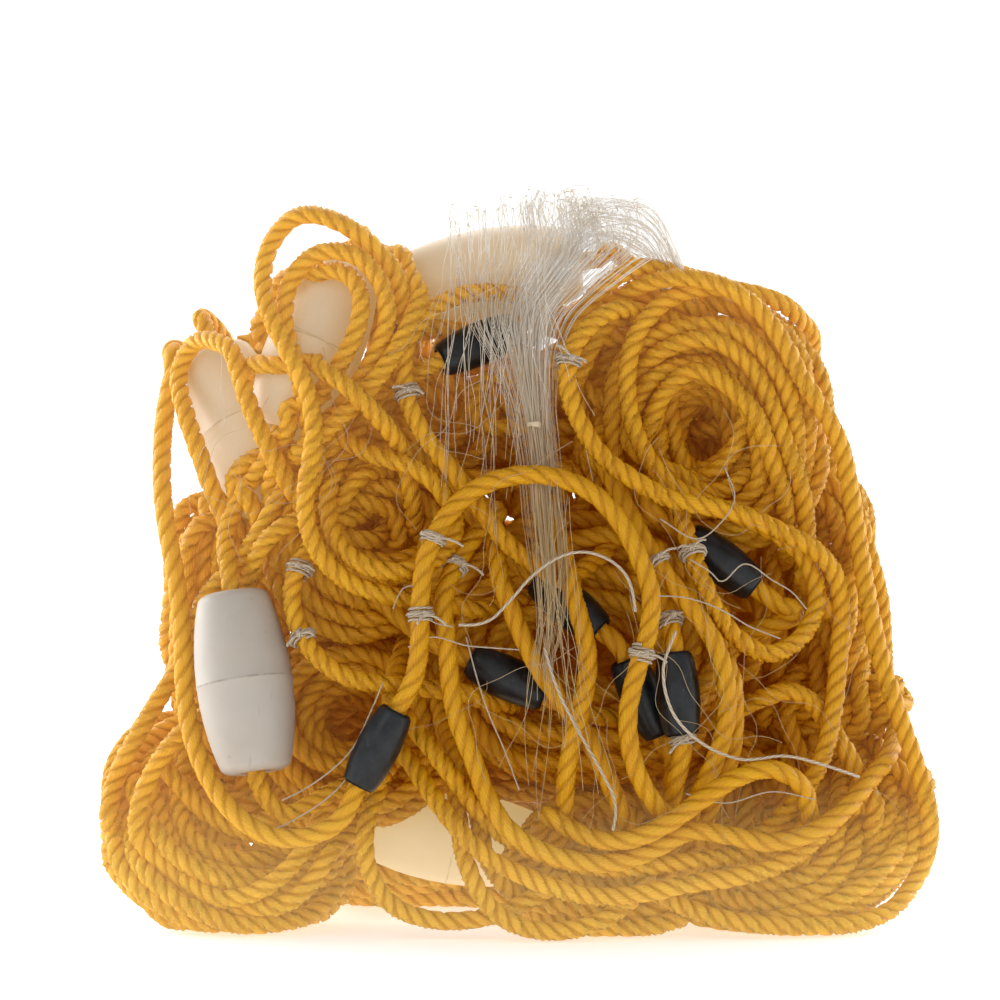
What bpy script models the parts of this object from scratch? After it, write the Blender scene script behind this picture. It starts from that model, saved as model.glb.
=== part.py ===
"""Gill net gathered into one upright bundle.

Yellow laid ropes carry barrel floats and sinkers, and the netting is gathered into a hank
that hangs down the front.  The bundle rests on the flats of its lower coils, its front
faces -Y and its origin lies in the middle of its base.  Tables are in millimetres and the
finished objects in metres.
"""

import math
from collections import namedtuple

import bmesh
import bpy
import numpy as np
from mathutils import Vector

# Driving dimensions, in millimetres
MM = 0.001
ROPE_RADIUS = 4.0
TWINE_RADIUS = 0.6
CLEARANCE = 0.35
ROPE_PITCH = 16.0
TWINE_PITCH = 7.0
LAYER = 8.6
SKIN_POWER = 2.4
MIDDLE = (3.9, 0.4, 0.0)

# How the runs are moved apart: rounds in all, the last of them left unsmoothed, the share of
# each push that goes sideways, in depth and up, and how far a run keeps off its own bends
ROUNDS = 160
SHARP_ROUNDS = 12
PUSH_SHARES = (0.45, 1.0, 0.45)
SMOOTHING = 0.22
BEND_LENGTH = 14.0
BEND_RADII = 1.2

# Outer form of the bundle at each height
Girth = namedtuple("Girth", "height half_width half_depth")
GIRTHS = [
    Girth(0, 150, 70),
    Girth(45, 168, 84),
    Girth(100, 154, 80),
    Girth(150, 142, 71),
    Girth(200, 135, 57),
    Girth(240, 118, 45),
    Girth(270, 100, 35),
    Girth(300, 84, 24),
]

# A run is a stretch of rope or twine: x, z and how many layers it lies below the outer form
Run = namedtuple("Run", "name radius points")
ROPE_RUNS = [
    Run("lead_line_front", ROPE_RADIUS, [
        (-131, 224, 1.5), (-135, 205, 1.2), (-136, 186, 1.0), (-134, 166, 1.0), (-130, 146, 1.0),
        (-127, 126, 1.2), (-126, 106, 1.4), (-124, 88, 1.2), (-118, 72, 0.8), (-110, 59, 0.3),
        (-99, 49, 0.0), (-87, 44, 0.0), (-75, 45, 0.0), (-64, 51, 0.0), (-55.5, 60, 0.0),
        (-47, 77, 0.0), (-39.5, 94, 0.0), (-36, 106, 0.0), (-34, 122, 0.0), (-34, 139, 0.0),
        (-32, 154, 0.0), (-26, 167, 0.0), (-16, 178, 0.0), (-3, 184, 0.0), (10, 186, 0.0),
        (24, 183, 0.0), (38, 175, 0.0), (48, 160, 0.0), (55, 144, 0.0), (56, 130, 0.0),
        (52, 114, 0.0), (47, 98, 0.0), (47, 81, 0.0), (51, 66, 0.2), (59, 54, 0.7),
        (67, 46, 1.6), (76, 40, 2.6),
    ]),
    Run("float_line_left_loop", ROPE_RADIUS, [
        (-78, 198, 3.0), (-66, 212, 2.5), (-54, 226, 2.0), (-45, 241, 1.5), (-40, 255, 1.0),
        (-46, 267, 0.6), (-56, 277, 0.3), (-67, 284, 0.0), (-79, 287, 0.0), (-89, 281, 0.0),
        (-95, 270, 0.0), (-96, 256, 0.0), (-91, 242, 0.0), (-83, 227, 0.0), (-77, 212, 0.0),
        (-76, 197, 0.0), (-79, 182, 0.0), (-80, 170, 0.2), (-77, 158, 0.4), (-70, 148, 0.6),
        (-59, 141, 0.7), (-48, 138, 0.8), (-39, 136, 1.3), (-29, 134, 2.1), (-18, 132, 3.0),
    ]),
    Run("float_line_left_inner_loop", ROPE_RADIUS, [
        (-72, 206, 2.6), (-60, 222, 1.8), (-52, 238, 1.3), (-50, 252, 1.0), (-55, 265, 0.8),
        (-65, 273, 0.8), (-77, 274, 0.8), (-87, 267, 0.9), (-93, 255, 1.1), (-92, 242, 1.2),
        (-88, 229, 1.5), (-84, 214, 1.8), (-82, 200, 2.4),
    ]),
    Run("float_line_shoulder_loop", ROPE_RADIUS, [
        (-112, 160, 3.0), (-118, 176, 2.2), (-123, 192, 1.6), (-128, 207, 1.2), (-131, 220, 1.0),
        (-127, 232, 0.8), (-118, 238, 0.7), (-109, 235, 0.7), (-103, 222, 0.6), (-98, 210, 0.6),
        (-92, 196, 0.8), (-86, 184, 1.1), (-80, 172, 1.6), (-74, 160, 2.4),
    ]),
    Run("float_line_upper_ring", ROPE_RADIUS, [
        (-70, 203, 2.4), (-60, 197, 1.8), (-48, 194, 1.5), (-36, 189, 1.4), (-27, 178, 1.6),
        (-24, 167, 1.8), (-28, 158, 1.6), (-37, 152, 1.0), (-48, 149.5, 0.5), (-60, 151, 0.3),
        (-70, 157, 0.6), (-76, 166, 1.1), (-78, 178, 1.6), (-75, 190, 2.2), (-68, 202, 3.2),
    ]),
    Run("float_line_lower_ring", ROPE_RADIUS, [
        (-72, 166, 2.2), (-80, 158, 1.4), (-86, 149, 1.0), (-88, 140, 0.8), (-87, 130, 0.7),
        (-82, 119, 0.5), (-74, 111, 0.4), (-63, 105, 0.4), (-52, 103, 0.5), (-41, 102, 1.0),
        (-30, 100, 1.7), (-20, 98, 2.5),
    ]),
    Run("float_line_top_loop", ROPE_RADIUS, [
        (24, 247, 3.6), (16, 251, 3.2), (9, 256, 2.6), (0, 260, 1.8), (-15, 262, 1.0),
        (-28, 258, 0.8), (-38, 250, 0.6), (-44, 240, 0.5), (-44, 224, 0.5), (-39, 208, 0.6),
        (-29, 193, 0.9), (-16, 177, 1.3), (-1, 157, 1.7), (10, 148, 2.1), (20, 141, 2.8),
    ]),
    Run("lead_line_right_loop", ROPE_RADIUS, [
        (58, 248, 2.0), (48, 252, 1.2), (37, 255, 0.7), (27, 250, 0.4), (20, 239, 0.3),
        (19, 226, 0.3), (23, 214, 0.3), (29, 202, 0.3), (37, 193, 0.3), (47, 186, 0.3),
        (58, 179, 0.3), (72, 175, 0.3), (87, 172, 0.3), (102, 165, 0.3), (116, 158, 0.3),
        (126, 150, 0.4), (132, 138, 0.5), (133, 124, 0.7), (132, 108, 0.8), (131, 92, 0.8),
        (128, 75, 0.8), (122, 61, 1.0), (114, 50, 1.6), (105, 42, 2.4),
    ]),
    Run("float_line_right_loop", ROPE_RADIUS, [
        (107, 226, 3.0), (100, 237, 1.6), (90, 244, 0.9), (78, 249, 0.7), (66, 252, 0.8),
        (55, 250, 0.9), (46, 242, 1.0), (40, 230, 1.0), (40, 218, 1.0), (42, 206, 1.0),
        (47, 194, 1.1), (55, 184, 1.3), (67, 174, 1.5), (82, 170, 1.5), (99, 163, 1.4),
        (112, 156, 1.3), (121, 146, 1.2), (124, 136, 1.0), (122, 126, 0.9), (115, 117, 0.8),
        (105, 113, 0.8), (94, 117, 0.8), (85, 127, 0.8), (78, 140, 0.9), (74, 152, 1.2),
        (70, 164, 2.0),
    ]),
    Run("float_line_right_side", ROPE_RADIUS, [
        (40, 250, 3.0), (53, 256, 2.0), (63, 258, 1.3), (73, 259, 0.8), (83, 257, 0.5),
        (94, 251, 0.4), (103, 242, 0.3), (109, 232, 0.3), (114, 221, 0.3), (122, 209, 0.3),
        (130, 194, 0.3), (134, 174, 0.3), (137, 152, 0.3), (141, 124, 0.3), (147, 99, 0.3),
        (157, 68, 0.3), (162, 48, 0.3), (160, 30, 0.3), (150, 15, 0.4), (136, 7, 0.4),
        (116, 4.8, 0.4), (94, 5.6, 0.5), (73, 10, 0.8), (55, 19, 1.5), (40, 26, 2.5),
    ]),
    Run("lead_line_middle_sweep", ROPE_RADIUS, [
        (-12, 162, 2.6), (-21, 150, 1.8), (-26, 138, 1.0), (-25, 124, 0.4), (-24, 107, 0.4),
        (-21, 90, 0.4), (-15, 75, 0.3), (-7, 55, 0.3), (4, 42, 0.3), (20, 35, 0.3),
        (38, 32, 0.3), (55, 37, 0.5), (72, 45, 0.9), (86, 43, 0.8), (99, 40, 0.6),
        (112, 41, 0.5), (124, 46, 0.4), (135, 53, 0.4), (145, 63, 0.5), (155, 73, 0.8),
        (160, 86, 1.5),
    ]),
    Run("float_line_front_sweep", ROPE_RADIUS, [
        (20, 47, 1.6), (32, 42, 0.8), (44, 41, 0.2), (61, 48, 0.0), (78, 60, 0.0),
        (90, 67, 0.0), (101, 70, 0.0), (111, 67, 0.2), (117, 59, 0.8), (119, 48, 1.8),
    ]),
    Run("float_line_lower_sweep", ROPE_RADIUS, [
        (-40, 72, 2.0), (-31, 60, 1.2), (-20, 46, 0.6), (-8, 34, 0.5), (6, 27, 0.5),
        (22, 21, 0.4), (40, 19, 0.4), (58, 22, 0.4), (75, 26, 0.4), (92, 28, 0.4),
        (106, 33, 0.5), (118, 41, 0.9), (128, 50, 1.6),
    ]),
    Run("lead_line_bottom_left_loop", ROPE_RADIUS, [
        (-52, 60, 2.0), (-57, 46, 1.2), (-57, 32, 0.8), (-51, 18, 0.6), (-41, 10, 0.5),
        (-27, 7, 0.5), (-10, 8, 0.5), (4, 13, 0.7), (16, 20, 1.4),
    ]),
    Run("lead_line_bottom_loop", ROPE_RADIUS, [
        (-24, 66, 1.5), (-22, 51, 0.9), (-19, 35, 0.6), (-12, 20, 0.4), (-1, 9, 0.3),
        (13, 4.8, 0.3), (28, 5.2, 0.4), (42, 11, 0.7), (53, 20, 1.4),
    ]),
    Run("lead_line_right_drop", ROPE_RADIUS, [
        (60, 150, 2.0), (63, 138, 1.2), (67, 119, 0.4), (69, 100, 0.3), (71, 81, 0.4),
        (69, 70, 0.6), (67, 58, 1.2), (66, 46, 2.2),
    ]),
    Run("float_line_right_drop", ROPE_RADIUS, [
        (38, 188, 3.0), (47, 170, 1.9), (57, 151, 1.2), (67, 136, 0.9), (77, 124, 0.7),
        (83, 112, 0.6), (86, 98, 0.6), (85, 83, 0.7), (80, 68, 1.0), (74, 55, 1.8),
    ]),
    Run("float_line_front_float", ROPE_RADIUS, [
        (-106, 176, 3.4), (-112, 160, 2.4), (-111, 148, 1.4), (-108, 137, 0.9), (-104, 100, 0.9),
        (-100, 63, 0.9), (-97, 54, 1.0), (-87, 50, 1.4), (-74, 56, 2.4),
    ]),
    Run("float_line_top_left_float", ROPE_RADIUS, [
        (-104, 178, 3.6), (-96, 192, 3.2), (-82, 228, 2.7), (-69, 264, 2.2), (-62, 274, 2.6),
    ]),
    Run("float_line_shoulder_float", ROPE_RADIUS, [
        (-125, 242, 3.1), (-122, 236, 3.2), (-108, 202, 3.6), (-96, 168, 4.2), (-90, 158, 4.8),
    ]),
    Run("float_line_crown_float", ROPE_RADIUS, [
        (-56, 256, 4.4), (-46, 260, 4.3), (-9, 266, 4.2), (28, 270, 4.1), (38, 270, 4.0),
    ]),
    Run("float_line_bottom_float", ROPE_RADIUS, [
        (-72, 42, 8.6), (-60, 37, 8.8), (-22, 30, 9.0), (16, 25, 9.0), (26, 26, 9.0),
    ]),
    Run("lead_line_arch_sinker", ROPE_RADIUS, [
        (62, 167, 2.6), (73, 157.5, 1.5), (87, 148.5, 1.1), (101, 139.5, 1.5), (109, 131, 2.4),
    ]),
    Run("lead_line_crown_sinker", ROPE_RADIUS, [
        (-46, 220, 3.0), (-33, 227, 2.1), (-17, 234, 1.8), (-1, 241, 2.1), (8, 245, 2.8),
    ]),
    Run("lead_line_centre_sinker", ROPE_RADIUS, [
        (-26, 115, 3.6), (-14, 108, 2.8), (0, 102.5, 2.4), (14, 97, 2.6), (25, 91, 3.4),
    ]),
    Run("lead_line_inner_sinkers", ROPE_RADIUS, [
        (4, 148, 3.8), (20, 142.5, 3.2), (34, 135.5, 2.9), (47, 129, 3.1), (48, 121, 3.1),
        (43, 113, 2.8), (51, 100, 2.4), (59, 87, 2.7), (63, 75, 3.4),
    ]),
]
TWINE_RUNS = [
    Run("twine_arc", TWINE_RADIUS, [
        (-20, 127, -0.7), (-9, 128, -0.7), (0, 136, -0.7), (8, 145, -0.7), (17, 152, -0.7),
        (27, 155.5, -0.7), (36, 154, -0.7), (43, 150, -0.7), (48, 143, -0.7), (50, 132, -0.7),
    ]),
    Run("twine_right", TWINE_RADIUS, [
        (66, 124, -0.6), (61, 110, -0.9), (63, 96, -1.0), (69, 86, -0.9), (80, 77, -0.6),
        (94, 72, -0.6), (110, 73, -0.6), (126, 69, -0.6), (140, 64, -0.6),
    ]),
    Run("twine_long_end", TWINE_RADIUS, [
        (14, 118, -0.5), (19, 102, -0.5), (27, 86, -0.5), (36, 70, -0.5), (42, 57, -0.5),
        (41, 46, -0.6),
    ]),
]

# Barrels threaded on a run, at the point of the run nearest to x, z
Barrel = namedtuple("Barrel", "kind length radius end_radius bore")
FLOAT = Barrel("float", 73.0, 19.4, 12.8, 5.2)
SINKER = Barrel("sinker", 33.6, 8.8, 6.3, 5.1)
BARREL_BANDS = 5
BARREL_BULGE = 0.7
BARREL_EDGE = 0.16
Bead = namedtuple("Bead", "name barrel run x z")
BEADS = [
    Bead("float_front", FLOAT, "float_line_front_float", -104, 100),
    Bead("float_top_left", FLOAT, "float_line_top_left_float", -82, 228),
    Bead("float_shoulder", FLOAT, "float_line_shoulder_float", -108, 202),
    Bead("float_crown", FLOAT, "float_line_crown_float", -9, 268),
    Bead("float_bottom", FLOAT, "float_line_bottom_float", -22, 30),
    Bead("sinker_left", SINKER, "lead_line_front", -47, 77),
    Bead("sinker_right", SINKER, "lead_line_right_drop", 69, 100),
    Bead("sinker_arch", SINKER, "lead_line_arch_sinker", 87, 148.5),
    Bead("sinker_crown", SINKER, "lead_line_crown_sinker", -17, 234),
    Bead("sinker_centre", SINKER, "lead_line_centre_sinker", 0, 102.5),
    Bead("sinker_inner", SINKER, "lead_line_inner_sinkers", 51, 100),
    Bead("sinker_deep", SINKER, "lead_line_inner_sinkers", 33, 136),
]

# Twine wound round a run, at the straight piece of the run nearest to x, z
Lashing = namedtuple("Lashing", "name run x z")
LASHINGS = [
    Lashing("lashing_top_loop", "float_line_top_loop", -44, 223),
    Lashing("lashing_left_ring", "float_line_lower_ring", -86, 145),
    Lashing("lashing_centre_loop", "lead_line_front", -34, 124),
    Lashing("lashing_right_leg", "lead_line_front", 56, 122),
    Lashing("lashing_sinker_top", "lead_line_right_drop", 66, 126),
]
LASHING_LENGTH = 5.0
LASHING_RADIUS = 5.8
LASHING_BORE = 4.5
LASHING_TAPER = 0.5

# Coils: closed bundles of turns, in a plane that leans back by lean and turns by yaw degrees
Coil = namedtuple("Coil", "name x y z half_width half_rise lean yaw radius steps ridges")
COILS = [
    Coil("coil_left", -114, 0, 38, 32, 40, 46, 20, 20, 20, 7),
    Coil("coil_right", 114, 0, 38, 34, 40, 46, -20, 20, 20, 7),
    Coil("coil_bottom", 36, -26, 22, 26, 20, 34, 0, 13, 16, 5),
    Coil("coil_low_left", -60, -12, 84, 28, 26, 20, 0, 15, 16, 5),
    Coil("coil_upper_right", 80, -7, 200, 29, 33, 8, -8, 19, 18, 6),
    Coil("coil_upper_left", -62, 30, 228, 18, 36, 4, 0, 12, 16, 5),
    Coil("coil_left_middle", -56, -14, 160, 24, 24, 8, 8, 16, 16, 5),
    Coil("coil_centre", 30, -14, 112, 44, 34, 6, -4, 18, 20, 6),
    Coil("coil_left_side", -112, 18, 124, 15, 42, -6, 20, 14, 16, 5),
    Coil("coil_right_side", 124, 16, 128, 15, 50, -4, -20, 14, 16, 5),
    Coil("coil_back_low", -2, 49, 56, 86, 36, -10, 4, 29, 26, 9),
    Coil("coil_back_high", 8, 38, 168, 62, 32, -10, -4, 22, 20, 8),
]
COIL_CLEARANCE = 0.6
LEAST_COIL = 2.0
RIDGE_DEPTH = 0.2
RIDGE_SWAY = 0.5

# Gathered netting, as flattened sections from its fanned mesh ends down to its thin tail
Gather = namedtuple("Gather", "z x y half_width half_depth")
GATHERS = [
    Gather(303, 22, -6, 30, 4),
    Gather(292, 18, -14, 41, 7),
    Gather(276, 20, -21, 43, 8),
    Gather(262, 12, -28, 32, 8),
    Gather(248, 5, -33, 22, 7),
    Gather(232, 6, -37, 14, 6.5),
    Gather(212, 9, -41, 9.5, 6),
    Gather(190, 12, -46, 8.5, 6),
    Gather(168, 14, -53, 8.5, 5.5),
    Gather(146, 16, -60, 7.5, 4.5),
    Gather(126, 16, -64, 5.5, 3.5),
    Gather(108, 13, -66, 4, 2.5),
]
FURROWS = 16
FURROW_DEPTH = 0.22
GATHER_PITCH = 6.0


def smooth_path(points, pitch, closed=False):
    """Even points on a Catmull-Rom curve through the given ones."""
    points = np.array(points, dtype=float)
    if closed:
        padded = np.vstack([points[-1:], points, points[:2]])
    else:
        first = 2 * points[0] - points[1]
        last = 2 * points[-1] - points[-2]
        padded = np.vstack([first, points, last])
    fine = []
    for a, b, c, d in zip(padded, padded[1:], padded[2:], padded[3:]):
        for t in np.linspace(0, 1, 12, endpoint=False):
            fine.append(0.5 * (2 * b + (c - a) * t + (2 * a - 5 * b + 4 * c - d) * t**2
                               + (3 * b - a - 3 * c + d) * t**3))
    fine.append(padded[-2])
    fine = np.array(fine)
    gaps = np.linalg.norm(np.diff(fine, axis=0), axis=1)
    reach = np.concatenate([[0], np.cumsum(gaps)])
    count = max(3, round(reach[-1] / pitch))
    marks = np.linspace(0, reach[-1], count + 1)
    return np.column_stack([np.interp(marks, reach, fine[:, k]) for k in range(3)])


def skin_depth(x, z):
    """Half the depth of the bundle's outer form at a place in its front view."""
    heights = [girth.height for girth in GIRTHS]
    half_width = np.interp(z, heights, [girth.half_width for girth in GIRTHS])
    half_depth = np.interp(z, heights, [girth.half_depth for girth in GIRTHS])
    share = np.clip(np.abs(x) / half_width, 0, 1) ** SKIN_POWER
    return half_depth * (1 - share) ** (1 / SKIN_POWER)


def place_run(run, pitch):
    """Points in space of a run, from its places in the front view and its layers."""
    path = smooth_path(run.points, pitch)
    x, z, layer = path.T
    y = ROPE_RADIUS + LAYER * layer - skin_depth(x, z)
    return np.column_stack([x, y, z])


def nearest_mark(points, x, z):
    """Distance along the points at which they pass nearest to x, z."""
    gaps = np.linalg.norm(np.diff(points, axis=0), axis=1)
    reach = np.concatenate([[0], np.cumsum(gaps)])
    marks = np.linspace(0, reach[-1], 400)
    xs = np.interp(marks, reach, points[:, 0])
    zs = np.interp(marks, reach, points[:, 2])
    return marks[np.argmin((xs - x) ** 2 + (zs - z) ** 2)], reach


def coil_path(coil):
    """Centre line of a coil: two straight legs and two round ends, leaned and turned."""
    end = min(coil.half_width, coil.half_rise)
    leg_x = coil.half_width - end
    leg_z = coil.half_rise - end
    outline = []
    for step in range(24):
        angle = 2 * math.pi * (step + 0.5) / 24
        across = end * math.cos(angle) + math.copysign(leg_x, math.cos(angle))
        up = end * math.sin(angle) + math.copysign(leg_z, math.sin(angle))
        outline.append((across, 0.0, up))
    pitch = 2 * (math.pi * end + 2 * leg_x + 2 * leg_z) / coil.steps
    flat = smooth_path(outline, pitch, closed=True)[:-1]
    lean = math.radians(coil.lean)
    yaw = math.radians(coil.yaw)
    back = flat[:, 2] * math.sin(lean)
    rise = flat[:, 2] * math.cos(lean)
    x = coil.x + flat[:, 0] * math.cos(yaw) - back * math.sin(yaw)
    y = coil.y + flat[:, 0] * math.sin(yaw) + back * math.cos(yaw)
    return np.column_stack([x, y, coil.z + rise])


def between(points, closed, parts=4):
    """The points with evenly spaced ones added along each straight piece."""
    ends = np.vstack([points, points[:1]]) if closed else points
    rows = []
    for a, b in zip(ends, ends[1:]):
        for part in range(parts):
            rows.append(a + (b - a) * part / parts)
    if not closed:
        rows.append(ends[-1])
    return np.array(rows)


def gather_balls():
    """Balls that fill the gathered netting, as centres and radii."""
    centres = []
    radii = []
    rows = smooth_path([(gather.x, gather.y, gather.z) for gather in GATHERS], GATHER_PITCH)
    rising = GATHERS[::-1]
    heights = [gather.z for gather in rising]
    widths = np.interp(rows[:, 2], heights, [gather.half_width for gather in rising])
    depths = np.interp(rows[:, 2], heights, [gather.half_depth for gather in rising])
    for row, width, depth in zip(rows, widths, depths):
        side = max(width - depth, 0)
        for across in np.linspace(-side, side, 2 + int(side / 4)):
            centres.append(row + np.array([across, 0, 0]))
            radii.append(depth)
    return np.array(centres), np.array(radii)


def bead_profile(barrel):
    """Half section of a barrel from top to bottom, bulged in the middle."""
    half = barrel.length / 2
    edge = BARREL_EDGE * barrel.end_radius
    rows = [(barrel.end_radius - edge, half), (barrel.end_radius, half - edge)]
    for band in range(1, BARREL_BANDS):
        up = (half - edge) * (1 - 2 * band / BARREL_BANDS)
        bulge = math.cos(math.pi / 2 * up / half) ** BARREL_BULGE
        rows.append((barrel.end_radius + (barrel.radius - barrel.end_radius) * bulge, up))
    rows += [(barrel.end_radius, edge - half), (barrel.end_radius - edge, -half)]
    return rows


def reach_of(barrel, offset):
    """Radius of a barrel at a distance from its middle, for keeping others clear."""
    bulge = math.cos(math.pi / 2 * min(1, abs(offset) / (barrel.length / 2))) ** BARREL_BULGE
    return barrel.end_radius + (barrel.radius - barrel.end_radius) * bulge


class Layout:
    """Runs, beads and coils in space, moved apart until nothing touches."""

    def __init__(self):
        self.runs = ROPE_RUNS + TWINE_RUNS
        pitches = {ROPE_RADIUS: ROPE_PITCH, TWINE_RADIUS: TWINE_PITCH}
        self.paths = {run.name: place_run(run, pitches[run.radius]) for run in self.runs}
        self.coils = {coil.name: coil_path(coil) for coil in COILS}
        self.straight = {bead.name: self.bead_span(bead) for bead in BEADS}
        self.coil_radii = self.fit_coils()

    def bead_span(self, bead):
        """First and last point of the straight stretch that carries a bead."""
        points = self.paths[bead.run]
        mark, reach = nearest_mark(points, bead.x, bead.z)
        half = bead.barrel.length / 2
        first = max(0, np.searchsorted(reach, mark - half) - 1)
        last = min(len(points) - 1, np.searchsorted(reach, mark + half))
        return first, last

    def straighten(self):
        """Bring the points inside each bead onto its axis."""
        for bead in BEADS:
            first, last = self.straight[bead.name]
            points = self.paths[bead.run]
            for index in range(first + 1, last):
                share = (index - first) / (last - first)
                points[index] = points[first] + (points[last] - points[first]) * share

    def bead_axis(self, bead):
        """Middle and direction of a bead."""
        first, last = self.straight[bead.name]
        points = self.paths[bead.run]
        along = points[last] - points[first]
        middle = (points[first] + points[last]) / 2
        return middle, along / np.linalg.norm(along)

    def bead_balls(self, parts=9):
        """Balls that fill every bead."""
        centres = []
        radii = []
        for bead in BEADS:
            middle, axis = self.bead_axis(bead)
            for offset in np.linspace(-0.5, 0.5, parts) * bead.barrel.length:
                centres.append(middle + axis * offset)
                radii.append(reach_of(bead.barrel, offset))
        return np.array(centres), np.array(radii)

    def fit_coils(self):
        """Radius of each coil along its centre line, clear of beads, netting and coils."""
        self.straighten()
        solid, solid_radii = self.bead_balls()
        netting, netting_radii = gather_balls()
        solid = np.vstack([solid, netting])
        solid_radii = np.concatenate([solid_radii, netting_radii])
        fine = {name: between(path, True) for name, path in self.coils.items()}
        fitted = {}
        for coil in COILS:
            path = fine[coil.name]
            gaps = np.linalg.norm(path[:, None] - solid[None], axis=2) - solid_radii
            limit = np.minimum(coil.radius, gaps.min(axis=1) - COIL_CLEARANCE)
            for other in COILS:
                if other.name == coil.name:
                    continue
                space = np.linalg.norm(path[:, None] - fine[other.name][None], axis=2).min(axis=1)
                share = coil.radius / (coil.radius + other.radius)
                limit = np.minimum(limit, share * space - COIL_CLEARANCE)
            low = np.min([np.roll(limit, step) for step in range(-4, 5)], axis=0)
            even = np.mean([np.roll(low, step) for step in range(-4, 5)], axis=0)
            fitted[coil.name] = np.maximum(even, LEAST_COIL)
        return fitted

    def radii_along(self, run, weights_a, weights_b, share):
        """Radius that each fine point of a run keeps clear."""
        points = self.paths[run.name]
        gaps = np.linalg.norm(np.diff(points, axis=0), axis=1)
        reach = np.concatenate([[0], np.cumsum(gaps)])
        marks = reach[weights_a] * (1 - share) + reach[weights_b] * share
        radii = np.full(len(marks), run.radius)
        for bead in BEADS:
            if bead.run == run.name:
                first, last = self.straight[bead.name]
                middle = (reach[first] + reach[last]) / 2
                for index, mark in enumerate(marks):
                    if abs(mark - middle) <= bead.barrel.length / 2:
                        radii[index] = reach_of(bead.barrel, mark - middle)
        for lashing in LASHINGS:
            if lashing.run == run.name:
                middle = self.lashing_mark(lashing)
                near = np.abs(marks - middle) <= LASHING_LENGTH
                radii[near] = np.maximum(radii[near], LASHING_RADIUS)
        return radii, marks

    def lashing_mark(self, lashing):
        """Distance along its run of a lashing's middle, half way along a straight piece."""
        points = self.paths[lashing.run]
        mark, reach = nearest_mark(points, lashing.x, lashing.z)
        middles = (reach[1:] + reach[:-1]) / 2
        return middles[np.argmin(np.abs(middles - mark))]

    def spread(self):
        """Move the runs apart, mostly in depth, until they clear each other and the coils."""
        parts = 5
        starts = {}
        total = 0
        for run in self.runs:
            starts[run.name] = total
            total += len(self.paths[run.name])
        vertices = np.vstack([self.paths[run.name] for run in self.runs])
        rest = vertices.copy()
        first = []
        second = []
        share = []
        owner = []
        for number, run in enumerate(self.runs):
            count = len(self.paths[run.name])
            for index in range(count - 1):
                for part in range(parts):
                    first.append(starts[run.name] + index)
                    second.append(starts[run.name] + index + 1)
                    share.append(part / parts)
                    owner.append(number)
            first.append(starts[run.name] + count - 1)
            second.append(starts[run.name] + count - 1)
            share.append(0.0)
            owner.append(number)
        first = np.array(first)
        second = np.array(second)
        share = np.array(share)
        owner = np.array(owner)
        radii = np.zeros(len(first))
        marks = np.zeros(len(first))
        for number, run in enumerate(self.runs):
            mine = owner == number
            start = starts[run.name]
            found = self.radii_along(run, first[mine] - start, second[mine] - start, share[mine])
            radii[mine], marks[mine] = found
        same = owner[:, None] == owner[None]
        apart = np.abs(marks[:, None] - marks[None])
        skip = same & (apart < BEND_LENGTH + BEND_RADII * (radii[:, None] + radii[None]))
        need = radii[:, None] + radii[None] + CLEARANCE
        blocks = [between(path, True) for path in self.coils.values()]
        block_radii = [self.coil_radii[name] for name in self.coils]
        netting, netting_radii = gather_balls()
        blocks = np.vstack(blocks + [netting])
        block_radii = np.concatenate(block_radii + [netting_radii])
        block_need = radii[:, None] + block_radii[None] + CLEARANCE
        bias = np.array(PUSH_SHARES)
        for turn in range(ROUNDS):
            fine = vertices[first] * (1 - share)[:, None] + vertices[second] * share[:, None]
            push = np.zeros_like(fine)
            hits = np.zeros(len(fine))
            gap = fine[:, None] - fine[None]
            space = np.linalg.norm(gap, axis=2)
            close = (space < need) & ~skip
            a, b = np.nonzero(close)
            way = gap[a, b] * bias
            way /= np.linalg.norm(way, axis=1)[:, None] + 1e-6
            lift = (need[a, b] - space[a, b])[:, None] * way * 0.5
            np.add.at(push, a, lift)
            np.add.at(hits, a, 1)
            gap = fine[:, None] - blocks[None]
            space = np.linalg.norm(gap, axis=2)
            a, b = np.nonzero(space < block_need)
            way = gap[a, b] * bias
            way /= np.linalg.norm(way, axis=1)[:, None] + 1e-6
            np.add.at(push, a, (block_need[a, b] - space[a, b])[:, None] * way)
            np.add.at(hits, a, 1)
            push /= np.maximum(hits, 1)[:, None] ** 0.5
            move = np.zeros_like(vertices)
            weight = np.zeros(len(vertices))
            np.add.at(move, first, push * (1 - share)[:, None])
            np.add.at(move, second, push * share[:, None])
            np.add.at(weight, first, (hits > 0) * (1 - share))
            np.add.at(weight, second, (hits > 0) * share)
            vertices += move / np.maximum(weight, 1)[:, None]
            if turn < ROUNDS - SHARP_ROUNDS:
                shift = vertices - rest
                for number, run in enumerate(self.runs):
                    start = starts[run.name]
                    stop = start + len(self.paths[run.name])
                    piece = shift[start:stop]
                    bend = piece[:-2] - 2 * piece[1:-1] + piece[2:]
                    piece[1:-1] += SMOOTHING * bend
                vertices = rest + shift
            low = np.zeros(len(vertices))
            np.maximum.at(low, first, radii)
            np.maximum.at(low, second, radii)
            vertices[:, 2] = np.maximum(vertices[:, 2], low + CLEARANCE)
            for run in self.runs:
                start = starts[run.name]
                self.paths[run.name] = vertices[start:start + len(self.paths[run.name])]
            self.straighten()


def finish(name, colour, roughness, metallic=0.0):
    """A plain material in one colour."""
    material = bpy.data.materials.new(name)
    material.use_nodes = True
    shader = material.node_tree.nodes["Principled BSDF"]
    shader.inputs["Base Color"].default_value = (*colour, 1.0)
    shader.inputs["Roughness"].default_value = roughness
    shader.inputs["Metallic"].default_value = metallic
    material.diffuse_color = (*colour, 1.0)
    return material


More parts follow.
